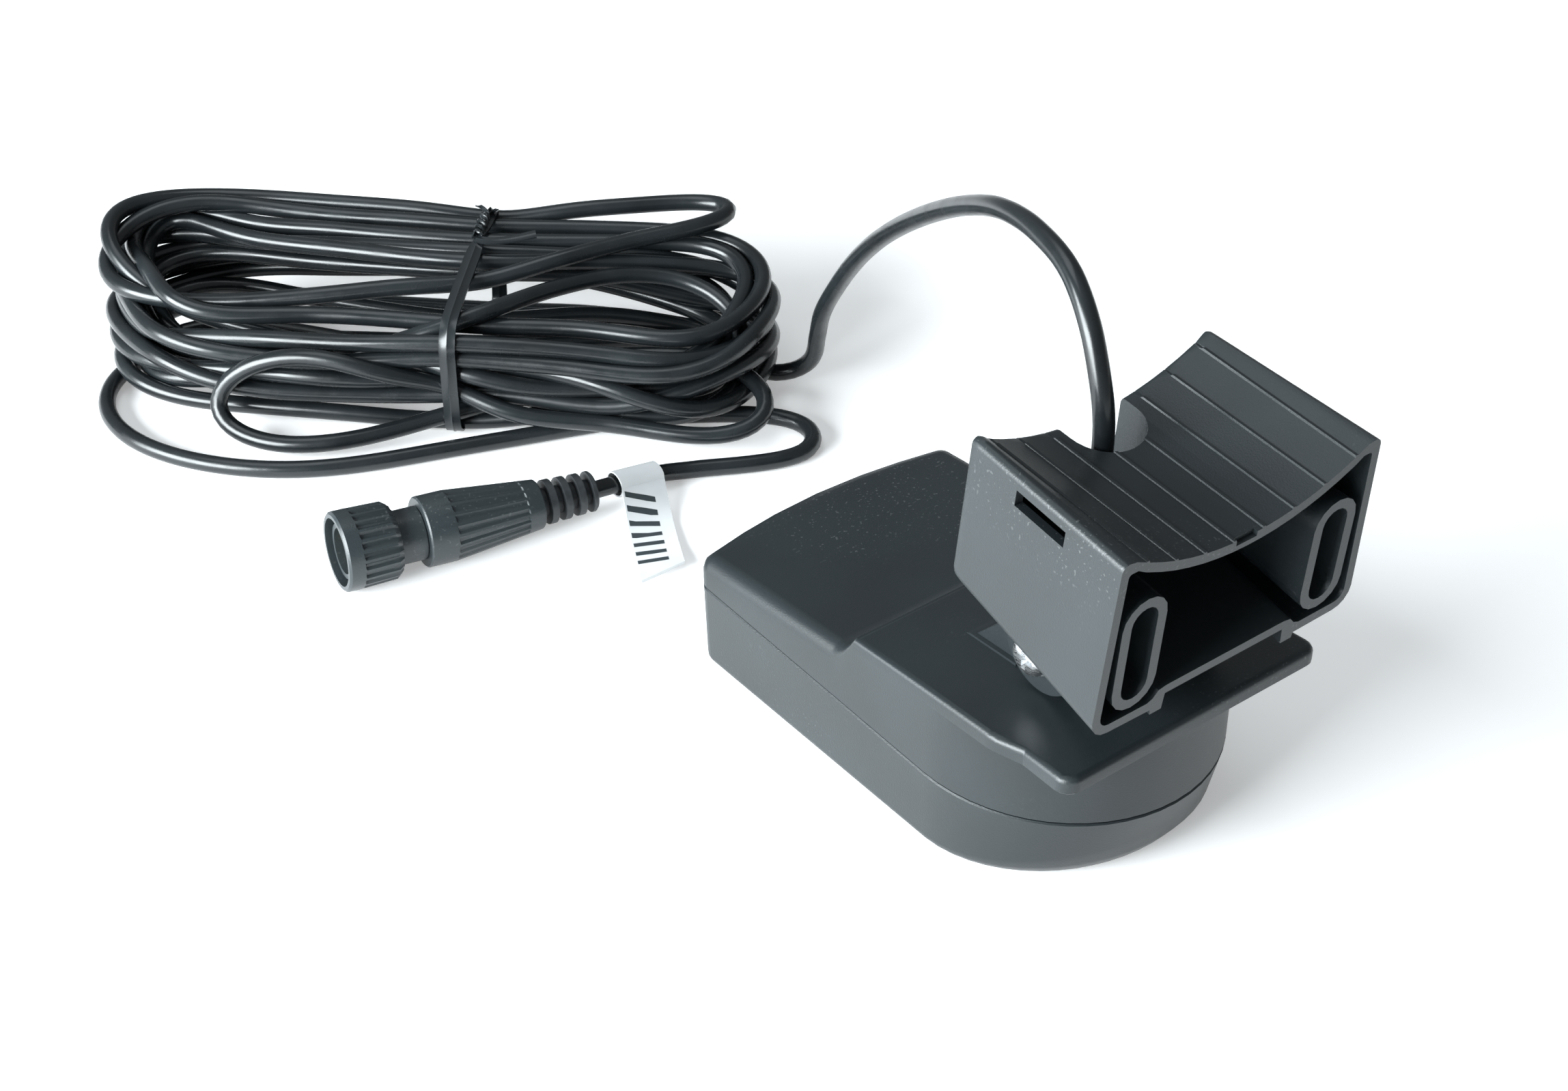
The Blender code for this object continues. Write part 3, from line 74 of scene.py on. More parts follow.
def camera():
    """A camera over the left of the nose, looking down along the transducer."""
    data = bpy.data.cameras.new("view")
    data.lens = CAMERA_LENS
    data.sensor_width = SENSOR_WIDTH
    data.clip_start = NEAR_LIMIT
    look = Vector(CAMERA_LOOK).normalized()
    right = look.cross(UP).normalized()
    up = right.cross(look)
    roll = math.radians(CAMERA_ROLL)
    across = right * math.cos(roll) + up * math.sin(roll)
    above = across.cross(look)
    turn = Matrix((across, above, -look)).transposed().to_4x4()
    made = place("view", data)
    made.matrix_world = Matrix.Translation(Vector(CAMERA_AT)) @ turn
    bpy.context.scene.camera = made


camera()

# ---------------------------------------------------------------- the cable's route

# Lengths are in mm from here to the end of the tie. The arch and the tail are in the CAD's
# coordinates. A point of the hank or the tie is a (along the runs), b (across them) and height.

CABLE_RADIUS = 2.5
ARCH_ROUTE = [
    (0.0, -27.0, 57.3), (0.0, -27.1, 60.3), (0.0, -28.3, 66.0), (-0.5, -31.7, 74.0),
    (-1.3, -34.9, 83.0), (-2.3, -37.4, 94.0), (-3.0, -38.6, 104.5), (-3.1, -38.2, 113.0),
    (-2.4, -35.2, 121.7), (-0.4, -29.1, 130.8), (3.3, -18.3, 137.4), (7.5, -3.0, 138.7),
    (12.5, 12.9, 135.0), (18.8, 30.8, 126.1), (27.7, 56.5, 109.1), (36.6, 82.5, 88.6),
    (43.4, 102.2, 69.9), (48.9, 117.9, 51.8), (52.4, 129.1, 35.9), (55.6, 135.3, 24.0),
    (57.9, 140.2, 13.8), (57.3, 144.8, 8.0), (54.9, 147.4, 6.2),
]
TAIL_ROUTE = [
    (-25.9, 131.11, 7.81), (-23.9, 130.93, 7.68), (-18.85, 131.01, 6.78), (-11.6, 131.05, 5.45),
    (-4.2, 131.09, 4.09), (3.3, 129.6, 2.7), (9.5, 126.6, 2.6), (14.7, 123.6, 2.6),
    (21.9, 119.9, 2.6), (29.1, 117.0, 2.6), (35.3, 116.2, 2.6), (41.0, 117.6, 2.6),
    (45.0, 121.4, 2.6), (46.0, 126.4, 2.8), (44.0, 131.2, 3.2), (41.2, 133.9, 3.7),
]
HANK_X = -18.0
HANK_Y = 222.0
HANK_TURN = -43.6  # degrees
TIE_A = 12.0

# For each turn: b and height at the rear of the tie, height at the left end,
# b and height at the front of the tie, height at the right end, shortening.
PLAIN_TURNS = [
    (25.0, 4.0, 6.0, -34.0, 4.0, 6.0, 4.0), (6.0, 12.0, 12.0, -20.0, 10.0, 12.0, 9.0),
    (27.0, 17.0, 12.0, -35.0, 18.5, 11.0, 1.0), (26.5, 23.0, 16.0, -35.0, 13.5, 15.0, 0.0),
    (10.0, 26.0, 20.0, -24.0, 18.0, 18.0, 8.0), (27.0, 29.0, 22.0, -35.0, 28.5, 20.0, 1.0),
    (9.0, 33.5, 26.0, -35.5, 23.5, 23.0, 0.0), (3.5, 33.5, 29.0, -29.5, 11.0, 26.0, 5.0),
    (15.5, 33.5, 31.0, -24.0, 30.0, 28.0, 3.0),
]
LOOSE_TURNS = [
    # over the top, its right end thrown back over the rear
    (58, 27, 32), (TIE_A, 24, 34), (-36, 26, 34), (-72, 25, 34), (-90, 16, 34), (-97, 3, 32),
    (-90, -11, 31), (-68, -21, 31), (-36, -20, 33), (1, -12, 35), (17, -6, 36), (37.5, 1, 37),
    (54, 13, 37.5), (72, 21, 38), (82, 28, 38), (85, 35, 37.5), (78, 40, 37), (66, 38, 36.5),
    # down the right end and across the front to a low left end
    (30, 31, 36), (TIE_A, 29, 35), (-36, 30, 35), (-72, 29, 35), (-91, 20, 35), (-98, 6, 34),
    (-92, -8, 31), (-70, -19, 27), (-36, -27, 22), (TIE_A, -36, 19), (50, -33, 16),
    (78, -28, 14), (90, -22, 14), (93, -11, 17), (87, 0, 22), (77, 6, 26), (65, 8, 29),
    (54, 4, 31), (38, -6, 32), (21, -24, 33), (8, -32, 31), (-12, -34, 24), (-36, -33, 17),
    (-62, -30, 11), (-80, -26, 7), (-87, -18, 6), (-84, -8, 8), (-66, -3, 11), (-30, -8, 12),
    (TIE_A, -18, 12), (43, -12, 12), (63, -10, 12),
    # round the right end, back to the short front loop on the left
    (82, -13, 13), (95, -21, 13), (101, -29, 11), (98, -37, 8), (87, -39.5, 6.5), (67, -36, 6),
    (44, -34, 9), (28, -37, 12.5), (16, -38, 16), (4, -39.2, 20.5), (-8, -40.3, 25),
    (-28, -41.2, 27.5), (-46.5, -41.2, 22.5), (-54.6, -42, 15), (-57, -42.5, 9),
    (-50, -49, 5.8), (-30.5, -53.5, 5), (-10, -46.5, 5), (TIE_A, -36.4, 6), (34, -26, 8.5),
    (58, -22, 8), (78, -20, 7.5), (88, -14, 7), (91, -4, 7), (84, 6, 7),
    # left under the hank, and out on the floor in a wide loop to the right end
    (60, 12, 4), (20, 8, 3), (-30, 6, 2.8), (-70, 2, 2.6), (-86, -7, 2.6), (-92.7, -20, 2.6),
    (-92.3, -32.8, 2.6), (-86.2, -44.6, 2.6), (-75, -54.5, 2.6), (-55.2, -61.5, 2.6),
    (-29.6, -62.4, 2.6), (-5.8, -55.7, 2.6), (8.5, -49.2, 2.6), (24, -42.5, 2.6),
    (44, -34, 2.8), (66, -27, 3.2), (84, -24, 3.8),
]
FROM_ARCH = [(102.0, -3.8, 5.6), (98.0, -3.6, 5.5), (90.0, 0.0, 5.0), (78.0, 12.0, 4.5)]
TO_TAIL = [(98.0, -22.9, 4.1), (102.0, -22.9, 4.2)]

ROUTE_STEP = 5.0  # between the points that are relaxed
CABLE_STEP = 2.5  # between the rings of the finished cable
CURVE_POINTS = 24  # worked out between two knots, before they are spaced evenly
SMALLEST = 1e-6  # a shorter distance between knots counts as this one


def from_hank(points):
    """Hank coordinates to the CAD's."""
    turn = math.radians(HANK_TURN)
    c, s = math.cos(turn), math.sin(turn)
    points = np.asarray(points, dtype=float)
    x = HANK_X + points[:, 0] * c - points[:, 1] * s
    y = HANK_Y + points[:, 0] * s + points[:, 1] * c
    return np.column_stack((x, y, points[:, 2]))


def to_hank(points):
    """The other way round."""
    turn = math.radians(HANK_TURN)
    c, s = math.cos(turn), math.sin(turn)
    dx, dy = points[:, 0] - HANK_X, points[:, 1] - HANK_Y
    return np.column_stack((dx * c + dy * s, -dx * s + dy * c, points[:, 2]))


def steps(points):
    """The distance from each point to the next."""
    return np.linalg.norm(np.diff(points, axis=0), axis=1)


def partway(u, start, end, first, last):
    """From first to last in proportion, as u goes from start to end."""
    return (end - u) / (end - start) * first + (u - start) / (end - start) * last


def through(knots, step):
    """Evenly spaced points on a centripetal curve through the knots."""
    knots = np.asarray(knots, dtype=float)
    padded = np.vstack((2 * knots[0] - knots[1], knots, 2 * knots[-1] - knots[-2]))
    fine = []
    for k in range(1, len(padded) - 2):
        p = padded[k - 1:k + 3]
        t = np.concatenate(([0.0], np.cumsum(np.maximum(SMALLEST, steps(p)) ** 0.5)))
        u = np.linspace(t[1], t[2], CURVE_POINTS, endpoint=False)[:, None]
        a = [partway(u, t[i], t[i + 1], p[i], p[i + 1]) for i in range(3)]
        b = [partway(u, t[i], t[i + 2], a[i], a[i + 1]) for i in range(2)]
        fine.append(partway(u, t[1], t[2], b[0], b[1]))
    fine = np.vstack(fine + [knots[-1:]])
    run = np.concatenate(([0.0], np.cumsum(steps(fine))))
    goal = np.linspace(0.0, run[-1], max(2, int(round(run[-1] / step))) + 1)
    return np.column_stack([np.interp(goal, run, fine[:, c]) for c in range(3)])


def plain_turn(b_rear, rear, left, b_front, front, right, reach):
    """Knots of one ordinary turn: where it passes the tie, its ends' heights and its reach.

    It runs left along the rear, round the left end, right along the front and round the right end.
    """
    skew = -14.0 + 0.85 * left
    tip = -6.0 + 0.35 * right
    a_left, a_right = -98.0 + reach, 97.0 - reach
    return [
        (52, (b_rear + 22) / 2, (2 * rear + right) / 3),
        (TIE_A, b_rear, rear),
        (-36, (2 * b_rear + 24) / 3, (2 * rear + left) / 3),
        (-70, (b_rear + 50) / 3, (rear + 2 * left) / 3),
        (a_left + 9, skew + 17, left + 1),
        (a_left, skew, left),
        (a_left + 8, skew - 15, left - 1),
        (-70, (b_front - 60) / 3, (2 * left + front) / 3),
        (-38, b_front - 1, (left + 2 * front) / 3),
        (TIE_A, b_front, front),
        (52, b_front + 1, (2 * front + right) / 3),
        (80, (b_front - 27) / 2, (front + 2 * right) / 3),
        (a_right - 5, tip - 15, right),
        (a_right, tip, right),
        (a_right - 7, tip + 17, right + 1),
    ]


def cable_line():
    """The whole cable as it is wound: gland, arch, turns, tail, plug."""
    turns = list(FROM_ARCH)
    for turn in PLAIN_TURNS:
        turns += plain_turn(*turn)
    turns += LOOSE_TURNS + TO_TAIL
    return through(np.vstack((ARCH_ROUTE, from_hank(turns), TAIL_ROUTE[::-1])), ROUTE_STEP)


# ---------------------------------------------------------------- the turns, relaxed

ROUNDS = 160
SPARE = 0.15  # room left between turns
FLOOR_ROOM = 0.1  # room left over the floor
NEXT_POINTS = 5  # points closer than this along the cable don't push each other
ARRIVES = 6.4  # the arch ends where the cable is first lower than this
LEAVES = 99.0  # the tail starts where the cable is last past this a
MARGIN = 3  # points at each end of the turns that stay put too
SPREAD = 3.0  # points, the width of the bell over which a push is shared
SPREAD_REACH = 8  # points, where the bell is cut off
PUSH_SHARE = 0.9  # the part of a push that is made in one round
STIFFNESS = 0.5  # the part of a bend that is straightened in one round
CLOSEST = 0.3  # a shorter distance between turns counts as this one
NO_CONTACT = 1e3
TIE_REACH = 5.0  # the tie holds the turns this far on each side of it
TIE_OUTSIDE = -41.0  # b, and not what passes in front of it beyond this
TIE_FRONT = -36.4
TIE_REAR = 29.4
TIE_TOP = 33.6


def relax(points):
    """Moves the turns apart until they lie a cable's width from each other."""
    local = to_hank(points)
    count = len(points)
    index = np.arange(count)
    free = np.ones(count)
    first = np.argmax(local[:, 2] < ARRIVES)
    last = count - np.argmax(local[::-1, 0] > LEAVES)
    free[:first + MARGIN] = 0.0
    free[last - MARGIN:] = 0.0
    spread = np.exp(-0.5 * (np.arange(-SPREAD_REACH, SPREAD_REACH + 1) / SPREAD) ** 2)
    spread /= spread.sum()
    near = np.abs(index[:, None] - index[None, :]) < NEXT_POINTS
    for _ in range(ROUNDS):
        gap = local[:, None, :] - local[None, :, :]
        far = np.sqrt((gap ** 2).sum(axis=2))
        far[near] = NO_CONTACT
        short = np.clip(2 * CABLE_RADIUS + SPARE - far, 0.0, None)
        push = (gap / np.maximum(far, CLOSEST)[:, :, None] * short[:, :, None]).sum(axis=1)
        push = push / np.maximum(1, (short > 0).sum(axis=1))[:, None]
        moved = np.column_stack([np.convolve(push[:, c], spread, mode="same") for c in range(3)])
        local = local + PUSH_SHARE * moved * free[:, None]
        bend = np.zeros_like(local)
        bend[2:-2] = (-local[:-4] + 4 * local[1:-3] - 6 * local[2:-2]
                      + 4 * local[3:-1] - local[4:]) / 16
        local = local + STIFFNESS * bend * free[:, None]
        local[:, 2] = np.maximum(local[:, 2], CABLE_RADIUS + FLOOR_ROOM * free)
        tied = (np.abs(local[:, 0] - TIE_A) < TIE_REACH) & (local[:, 1] > TIE_OUTSIDE) & (free > 0)
        local[tied, 1] = np.clip(local[tied, 1], TIE_FRONT, TIE_REAR)
        local[tied, 2] = np.minimum(local[tied, 2], TIE_TOP)
    return from_hank(local)


line = metres(through(relax(cable_line()), CABLE_STEP))

# ---------------------------------------------------------------- the cable

CABLE_SIDES = 14
CABLE_SHARP = 60  # degrees, over which an edge is sharp
STRIP_SHARP = 50


def tube(name, points, sides, sharp):
    """A closed tube through rings of points."""
    rings = len(points) // sides
    faces = []
    for ring in range(rings - 1):
        near, far = ring * sides, (ring + 1) * sides
        faces += [(near + k, near + (k + 1) % sides, far + (k + 1) % sides, far + k)
                  for k in range(sides)]
    faces += [tuple(range(sides))[::-1], tuple(range((rings - 1) * sides, rings * sides))]
    mesh = bpy.data.meshes.new(name)
    mesh.from_pydata(points.tolist(), [], faces)
    mesh.shade_smooth()
    mesh.set_sharp_from_angle(angle=math.radians(sharp))
    return place(name, mesh)


def cable():
    """The cable's smooth round jacket, its ends closed."""
    ahead = np.gradient(line, axis=0)
    ahead /= np.linalg.norm(ahead, axis=1)[:, None]
    side = np.cross(ahead[0], (1.0, 0.0, 0.0))
    turns = np.linspace(0.0, 2 * math.pi, CABLE_SIDES, endpoint=False)
    rings = []
    for here, along in zip(line, ahead):
        side = side - along * side.dot(along)
        side /= np.linalg.norm(side)
        other = np.cross(along, side)
        round_it = np.outer(np.cos(turns), side) + np.outer(np.sin(turns), other)
        rings.append(here + CABLE_RADIUS * MM * round_it)
    return tube("cable", np.vstack(rings), CABLE_SIDES, CABLE_SHARP)


jacket = cable()
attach(jacket, "transducer")
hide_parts("cable_arch", "cable_hank", "cable_tail")

# ---------------------------------------------------------------- the tie

# A strip's section, in half widths and in thicknesses. The ridge in the middle is its wire.
STRIP_PROFILE = [
    (-1.0, -0.5), (-0.22, -0.5), (0.0, -0.9), (0.22, -0.5), (1.0, -0.5),
    (1.0, 0.5), (0.22, 0.5), (0.0, 0.9), (-0.22, 0.5), (-1.0, 0.5),
]
# b and height, from the top of the hank all round it
BAND_ROUTE = [
    (12.0, 37.0), (20.0, 36.9), (28.5, 36.2), (31.9, 33.0), (32.1, 20.0), (31.6, 4.5),
    (28.0, 1.3), (10.0, 1.0), (-20.0, 1.0), (-36.0, 1.3), (-39.2, 4.0), (-39.6, 12.0),
    (-39.5, 24.0), (-38.8, 31.0), (-35.0, 35.4), (-24.0, 36.8), (-8.0, 37.1), (4.0, 37.2),
    (10.0, 37.5),
]
BAND_A = TIE_A - 0.6
BAND_WIDTH = 4.6
BAND_THICKNESS = 0.62
BAND_STEP = 1.6
PINCH = 2.4  # the band is this much narrower on top, where its ends are twisted
PINCH_B = 11.0
PINCH_REACH = 5.0
PINCH_ABOVE = 34  # height
TWIST_AT = (TIE_A - 1.0, 10.5, 38.3)
TWIST_LENGTH = 11.0
TWIST_TURN = math.radians(760)
TWIST_STEPS = 48
TWIST_RADIUS = 0.95
TWIST_FLARE = 0.5  # added to the radius over the first part of the twist
FLARE_SHARE = 0.04
SPLAYS = (  # past the twist, from its last point
    ((-0.8, 1.8, 0.2), (-1.9, 3.4, 0.2), (-3.0, 4.6, 0.0)),
    ((0.8, 1.8, 0.3), (2.0, 3.4, 0.6), (3.4, 4.6, 0.6)),
)
SPLAY_FACING = (0.2, -0.9, 0.4)
END_WIDTH = 1.7
END_WIDENS = 2.0  # over the last part of an end
WIDENS_FROM = 0.82
END_THICKNESS = 0.45
END_STEP = 0.8
LEAF_ROUTE = [
    (TIE_A - 1.0, 9.0, 38.0), (TIE_A + 3.0, 6.5, 39.0), (TIE_A + 9.0, 6.0, 40.0),
    (TIE_A + 17.0, 8.0, 41.2),
]
LEAF_WIDTH = 2.6
LEAF_WIDENS = 1.2
LEAF_THICKNESS = 0.5
LEAF_STEP = 1.0


def strip(name, path, across, widths, thickness):
    """A flat strip with a round wire ridge along its middle, following a path."""
    points = []
    for k, here in enumerate(path):
        ahead = Vector(path[min(k + 1, len(path) - 1)]) - Vector(path[max(k - 1, 0)])
        side = Vector(across[k]).normalized()
        outward = ahead.cross(side).normalized()
        side = outward.cross(ahead).normalized()
        for u, v in STRIP_PROFILE:
            point = Vector(here) + side * (u * widths[k] / 2) + outward * (v * thickness)
            points.append(tuple(point))
    return tube(name, metres(from_hank(points)), len(STRIP_PROFILE), STRIP_SHARP)


def tie_band():
    """The band round the turns, pinched where its ends meet on top."""
    path = through([(BAND_A, b, z) for b, z in BAND_ROUTE], BAND_STEP)
    widths = [BAND_WIDTH - PINCH * math.exp(-((b - PINCH_B) / PINCH_REACH) ** 2)
              * (z > PINCH_ABOVE) for _, b, z in path]
    return strip("tie_band", path, [(1.0, 0.0, 0.0)] * len(path), widths, BAND_THICKNESS)


def tie_end(name, start, splay):
    """One of the two ends, twisted round the other and then splayed."""
    twisted, facing = [], []
    for k in range(TWIST_STEPS + 1):
        share = k / TWIST_STEPS
        spin = start + share * TWIST_TURN
        reach = TWIST_RADIUS + TWIST_FLARE * (share < FLARE_SHARE)
        twisted.append((TWIST_AT[0] + reach * math.cos(spin),
                        TWIST_AT[1] + TWIST_LENGTH * share,
                        TWIST_AT[2] + reach * math.sin(spin)))
        facing.append((-math.sin(spin), 0.0, math.cos(spin)))
    tip = twisted[-1]
    twisted += [(tip[0] + a, tip[1] + b, tip[2] + z) for a, b, z in splay]
    facing += [SPLAY_FACING] * len(splay)
    path = through(twisted, END_STEP)
    across = [facing[int(round(k))] for k in np.linspace(0, len(facing) - 1, len(path))]
    widths = [END_WIDTH + END_WIDENS * max(0.0, (k / len(path) - WIDENS_FROM) / (1 - WIDENS_FROM))
              for k in range(len(path))]
    return strip(name, path, across, widths, END_THICKNESS)


def tie_leaf():
    """The flat loose end that lies along the top of the hank."""
    path = through(LEAF_ROUTE, LEAF_STEP)
    widths = [LEAF_WIDTH + LEAF_WIDENS * k / len(path) for k in range(len(path))]
    return strip("tie_leaf", path, [(0.1, 1.0, 0.1)] * len(path), widths, LEAF_THICKNESS)


tie = [tie_band(), tie_end("tie_end_1", 0.0, SPLAYS[0]), tie_end("tie_end_2", math.pi, SPLAYS[1]),
       tie_leaf()]
for piece in tie:
    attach(piece, "transducer")
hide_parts("hank_tie")

# ---------------------------------------------------------------- material nodes

BLACK = (0.0, 0.0, 0.0)
WHITE = (1.0, 1.0, 1.0)
MIX_MASK, MIX_UNDER, MIX_OVER = 0, 6, 7  # the colour sockets of a Mix node
MIX_RESULT = 2


def shader(name, colour, roughness, metallic=0.0):
    """A new Principled material and its node tree."""
    made = bpy.data.materials.new(name)
    made.use_nodes = True
    tree = made.node_tree
    main = tree.nodes["Principled BSDF"]
    main.inputs["Base Color"].default_value = (*colour, 1.0)
    main.inputs["Roughness"].default_value = roughness
    main.inputs["Metallic"].default_value = metallic
    return made, tree, main


def noise(tree, scale, detail, stretch=(1.0, 1.0, 1.0)):
    """Noise in object space."""
    at = tree.nodes.new("ShaderNodeTexCoord")
    fit = tree.nodes.new("ShaderNodeMapping")
    fit.inputs["Scale"].default_value = stretch
    made = tree.nodes.new("ShaderNodeTexNoise")
    made.inputs["Scale"].default_value = scale
    made.inputs["Detail"].default_value = detail
    tree.links.new(at.outputs["Object"], fit.inputs["Vector"])
    tree.links.new(fit.outputs["Vector"], made.inputs["Vector"])
    return made.outputs["Fac"]


def ramp(tree, source, low, first, high, second):
    """One colour up to a low value and another from a high value."""
    made = tree.nodes.new("ShaderNodeValToRGB")
    elements = made.color_ramp.elements
    elements[0].position, elements[0].color = low, (*first, 1.0)
    elements[1].position, elements[1].color = high, (*second, 1.0)
    tree.links.new(source, made.inputs["Fac"])
    return made.outputs["Color"]


def bump(tree, main, height, strength, distance):
    """Surface relief from a height."""
    made = tree.nodes.new("ShaderNodeBump")
    made.inputs["Strength"].default_value = strength
    made.inputs["Distance"].default_value = distance
    tree.links.new(height, made.inputs["Height"])
    tree.links.new(made.outputs["Normal"], main.inputs["Normal"])


def calculate(tree, operation, first, second):
    """A Math node on a link and a number, or on two links."""
    made = tree.nodes.new("ShaderNodeMath")
    made.operation = operation
    tree.links.new(first, made.inputs[0])
    if isinstance(second, float):
        made.inputs[1].default_value = second
    else:
        tree.links.new(second, made.inputs[1])
    return made.outputs[0]


def between(tree, value, low, high):
    """1 where a value lies between two limits."""
    return calculate(tree, 'MULTIPLY', calculate(tree, 'GREATER_THAN', value, low),
                     calculate(tree, 'LESS_THAN', value, high))


def lay_over(tree, mask, under, over):
    """A plain colour over another, as far as the mask goes."""
    made = tree.nodes.new("ShaderNodeMix")
    made.data_type = 'RGBA'
    made.inputs[MIX_OVER].default_value = (*over, 1.0)
    tree.links.new(mask, made.inputs[MIX_MASK])
    tree.links.new(under, made.inputs[MIX_UNDER])
    return made.outputs[MIX_RESULT]


# ---------------------------------------------------------------- materials

DUST = (0.16, 0.17, 0.17)
MOST_DUST = (0.26, 0.26, 0.26)
SCRATCH_STRETCH = (1.0, 1.0, 6.0)
TAG_ROOT = (-0.0116, 0.13793, 0.0)  # metres, where the tag leaves the cable
TAG_TURN = math.atan2(-0.52, 1.0)  # the tag's own x runs across it, and its -y along it
BAR_COLOUR = (0.035, 0.045, 0.050)
BAR_HALF_LENGTH = 0.0042
BAR_HALF_WIDTH = 0.0009
BAR_HALF_PITCH = 0.0021
BARS_FROM, BARS_TO = -0.0345, -0.0060


def satin_plastic(name, dark, light, rough, grain):
    """Moulded nylon: a fine grain, faint clouding, and a few pale specks of dust."""
    made, tree, main = shader(name, light, rough)
    tint = ramp(tree, noise(tree, scale=28.0, detail=4.0), 0.35, dark, 0.65, light)
    specks = ramp(tree, noise(tree, scale=1300.0, detail=0.0), 0.735, BLACK, 0.76, WHITE)
    patches = ramp(tree, noise(tree, scale=17.0, detail=2.0), 0.53, BLACK, 0.66, MOST_DUST)
    dusty = lay_over(tree, calculate(tree, 'MULTIPLY', specks, patches), tint, DUST)
    tree.links.new(dusty, main.inputs["Base Color"])
    bump(tree, main, noise(tree, scale=grain, detail=2.0), strength=0.22, distance=0.0002)
    return made


def jacket_material():
    """Glossy black PVC with soft wear."""
    made, tree, main = shader("cable_jacket", (0.008, 0.010, 0.011), roughness=0.24)
    tint = ramp(tree, noise(tree, scale=40.0, detail=3.0),
                0.35, (0.006, 0.0075, 0.0085), 0.7, (0.013, 0.016, 0.018))
    tree.links.new(tint, main.inputs["Base Color"])
    wear = ramp(tree, noise(tree, scale=120.0, detail=4.0), 0.3, (0.19,) * 3, 0.75, (0.34,) * 3)
    tree.links.new(wear, main.inputs["Roughness"])
    bump(tree, main, noise(tree, scale=160.0, detail=2.0), strength=0.12, distance=0.0004)
    return made


def metal(name, colour, rough):
    """Bright metal with fine scratches."""
    made, tree, main = shader(name, colour, rough, metallic=1.0)
    wear = ramp(tree, noise(tree, scale=700.0, detail=3.0, stretch=SCRATCH_STRETCH),
                0.3, (rough * 0.7,) * 3, 0.7, (rough * 1.5,) * 3)
    tree.links.new(wear, main.inputs["Roughness"])
    bump(tree, main, noise(tree, scale=1500.0, detail=2.0), strength=0.02, distance=0.00003)
    return made


def tag_material():
    """White film with faint mottling and a few plain dark bars."""
    made, tree, main = shader("tag_film", (0.70, 0.71, 0.72), roughness=0.32)
    tint = ramp(tree, noise(tree, scale=90.0, detail=3.0),
                0.3, (0.64, 0.66, 0.67), 0.7, (0.72, 0.73, 0.74))
    at = tree.nodes.new("ShaderNodeTexCoord")
    fit = tree.nodes.new("ShaderNodeMapping")
    fit.vector_type = 'TEXTURE'
    fit.inputs["Location"].default_value = TAG_ROOT
    fit.inputs["Rotation"].default_value = (0.0, 0.0, TAG_TURN)
    parts = tree.nodes.new("ShaderNodeSeparateXYZ")
    tree.links.new(at.outputs["Object"], fit.inputs["Vector"])
    tree.links.new(fit.outputs["Vector"], parts.inputs["Vector"])
    across = between(tree, parts.outputs["X"], -BAR_HALF_LENGTH, BAR_HALF_LENGTH)
    along = between(tree, parts.outputs["Y"], BARS_FROM, BARS_TO)
    repeat = calculate(tree, 'PINGPONG', parts.outputs["Y"], BAR_HALF_PITCH)
    bars = calculate(tree, 'MULTIPLY', calculate(tree, 'MULTIPLY', across, along),
                     calculate(tree, 'LESS_THAN', repeat, BAR_HALF_WIDTH))
    tree.links.new(lay_over(tree, bars, tint, BAR_COLOUR), main.inputs["Base Color"])
    bump(tree, main, noise(tree, scale=60.0, detail=2.0), strength=0.1, distance=0.0006)
    return made


def grained(name, dark, light, rough, scale, relief):
    """A plain material with grain in its colour and relief."""
    made, tree, main = shader(name, light, rough)
    grain = noise(tree, scale, detail=4.0)
    tree.links.new(ramp(tree, grain, 0.35, dark, 0.65, light), main.inputs["Base Color"])
    bump(tree, main, grain, strength=0.3, distance=relief)
    return made


SHELL = satin_plastic("shell_plastic", (0.0095, 0.0130, 0.0150), (0.0125, 0.0170, 0.0190),
                      rough=0.40, grain=2600.0)
PLUG = satin_plastic("plug_plastic", (0.020, 0.026, 0.029), (0.026, 0.033, 0.036),
                     rough=0.38, grain=2200.0)
JACKET = jacket_material()
STEEL = metal("bright_steel", (0.68, 0.69, 0.70), rough=0.26)
BRASS = metal("contact_brass", (0.70, 0.52, 0.22), rough=0.28)
TAG = tag_material()
SOFT = grained("moulded_rubber", (0.014, 0.016, 0.018), (0.022, 0.025, 0.028),
               rough=0.5, scale=500.0, relief=0.0002)
CERAMIC = grained("fired_ceramic", (0.55, 0.52, 0.45), (0.66, 0.62, 0.54),
                  rough=0.55, scale=400.0, relief=0.0001)
CORK = grained("cork", (0.26, 0.15, 0.07), (0.46, 0.31, 0.17),
               rough=0.9, scale=600.0, relief=0.0004)
RESIN = grained("potting_resin", (0.08, 0.055, 0.03), (0.12, 0.085, 0.05),
                rough=0.35, scale=60.0, relief=0.0002)
RED = grained("red_insulation", (0.38, 0.025, 0.02), (0.48, 0.035, 0.025),
              rough=0.45, scale=300.0, relief=0.0001)
GREY = grained("grey_insulation", (0.21, 0.22, 0.23), (0.28, 0.29, 0.30),
               rough=0.45, scale=300.0, relief=0.0001)

# ---------------------------------------------------------------- the CAD's pieces

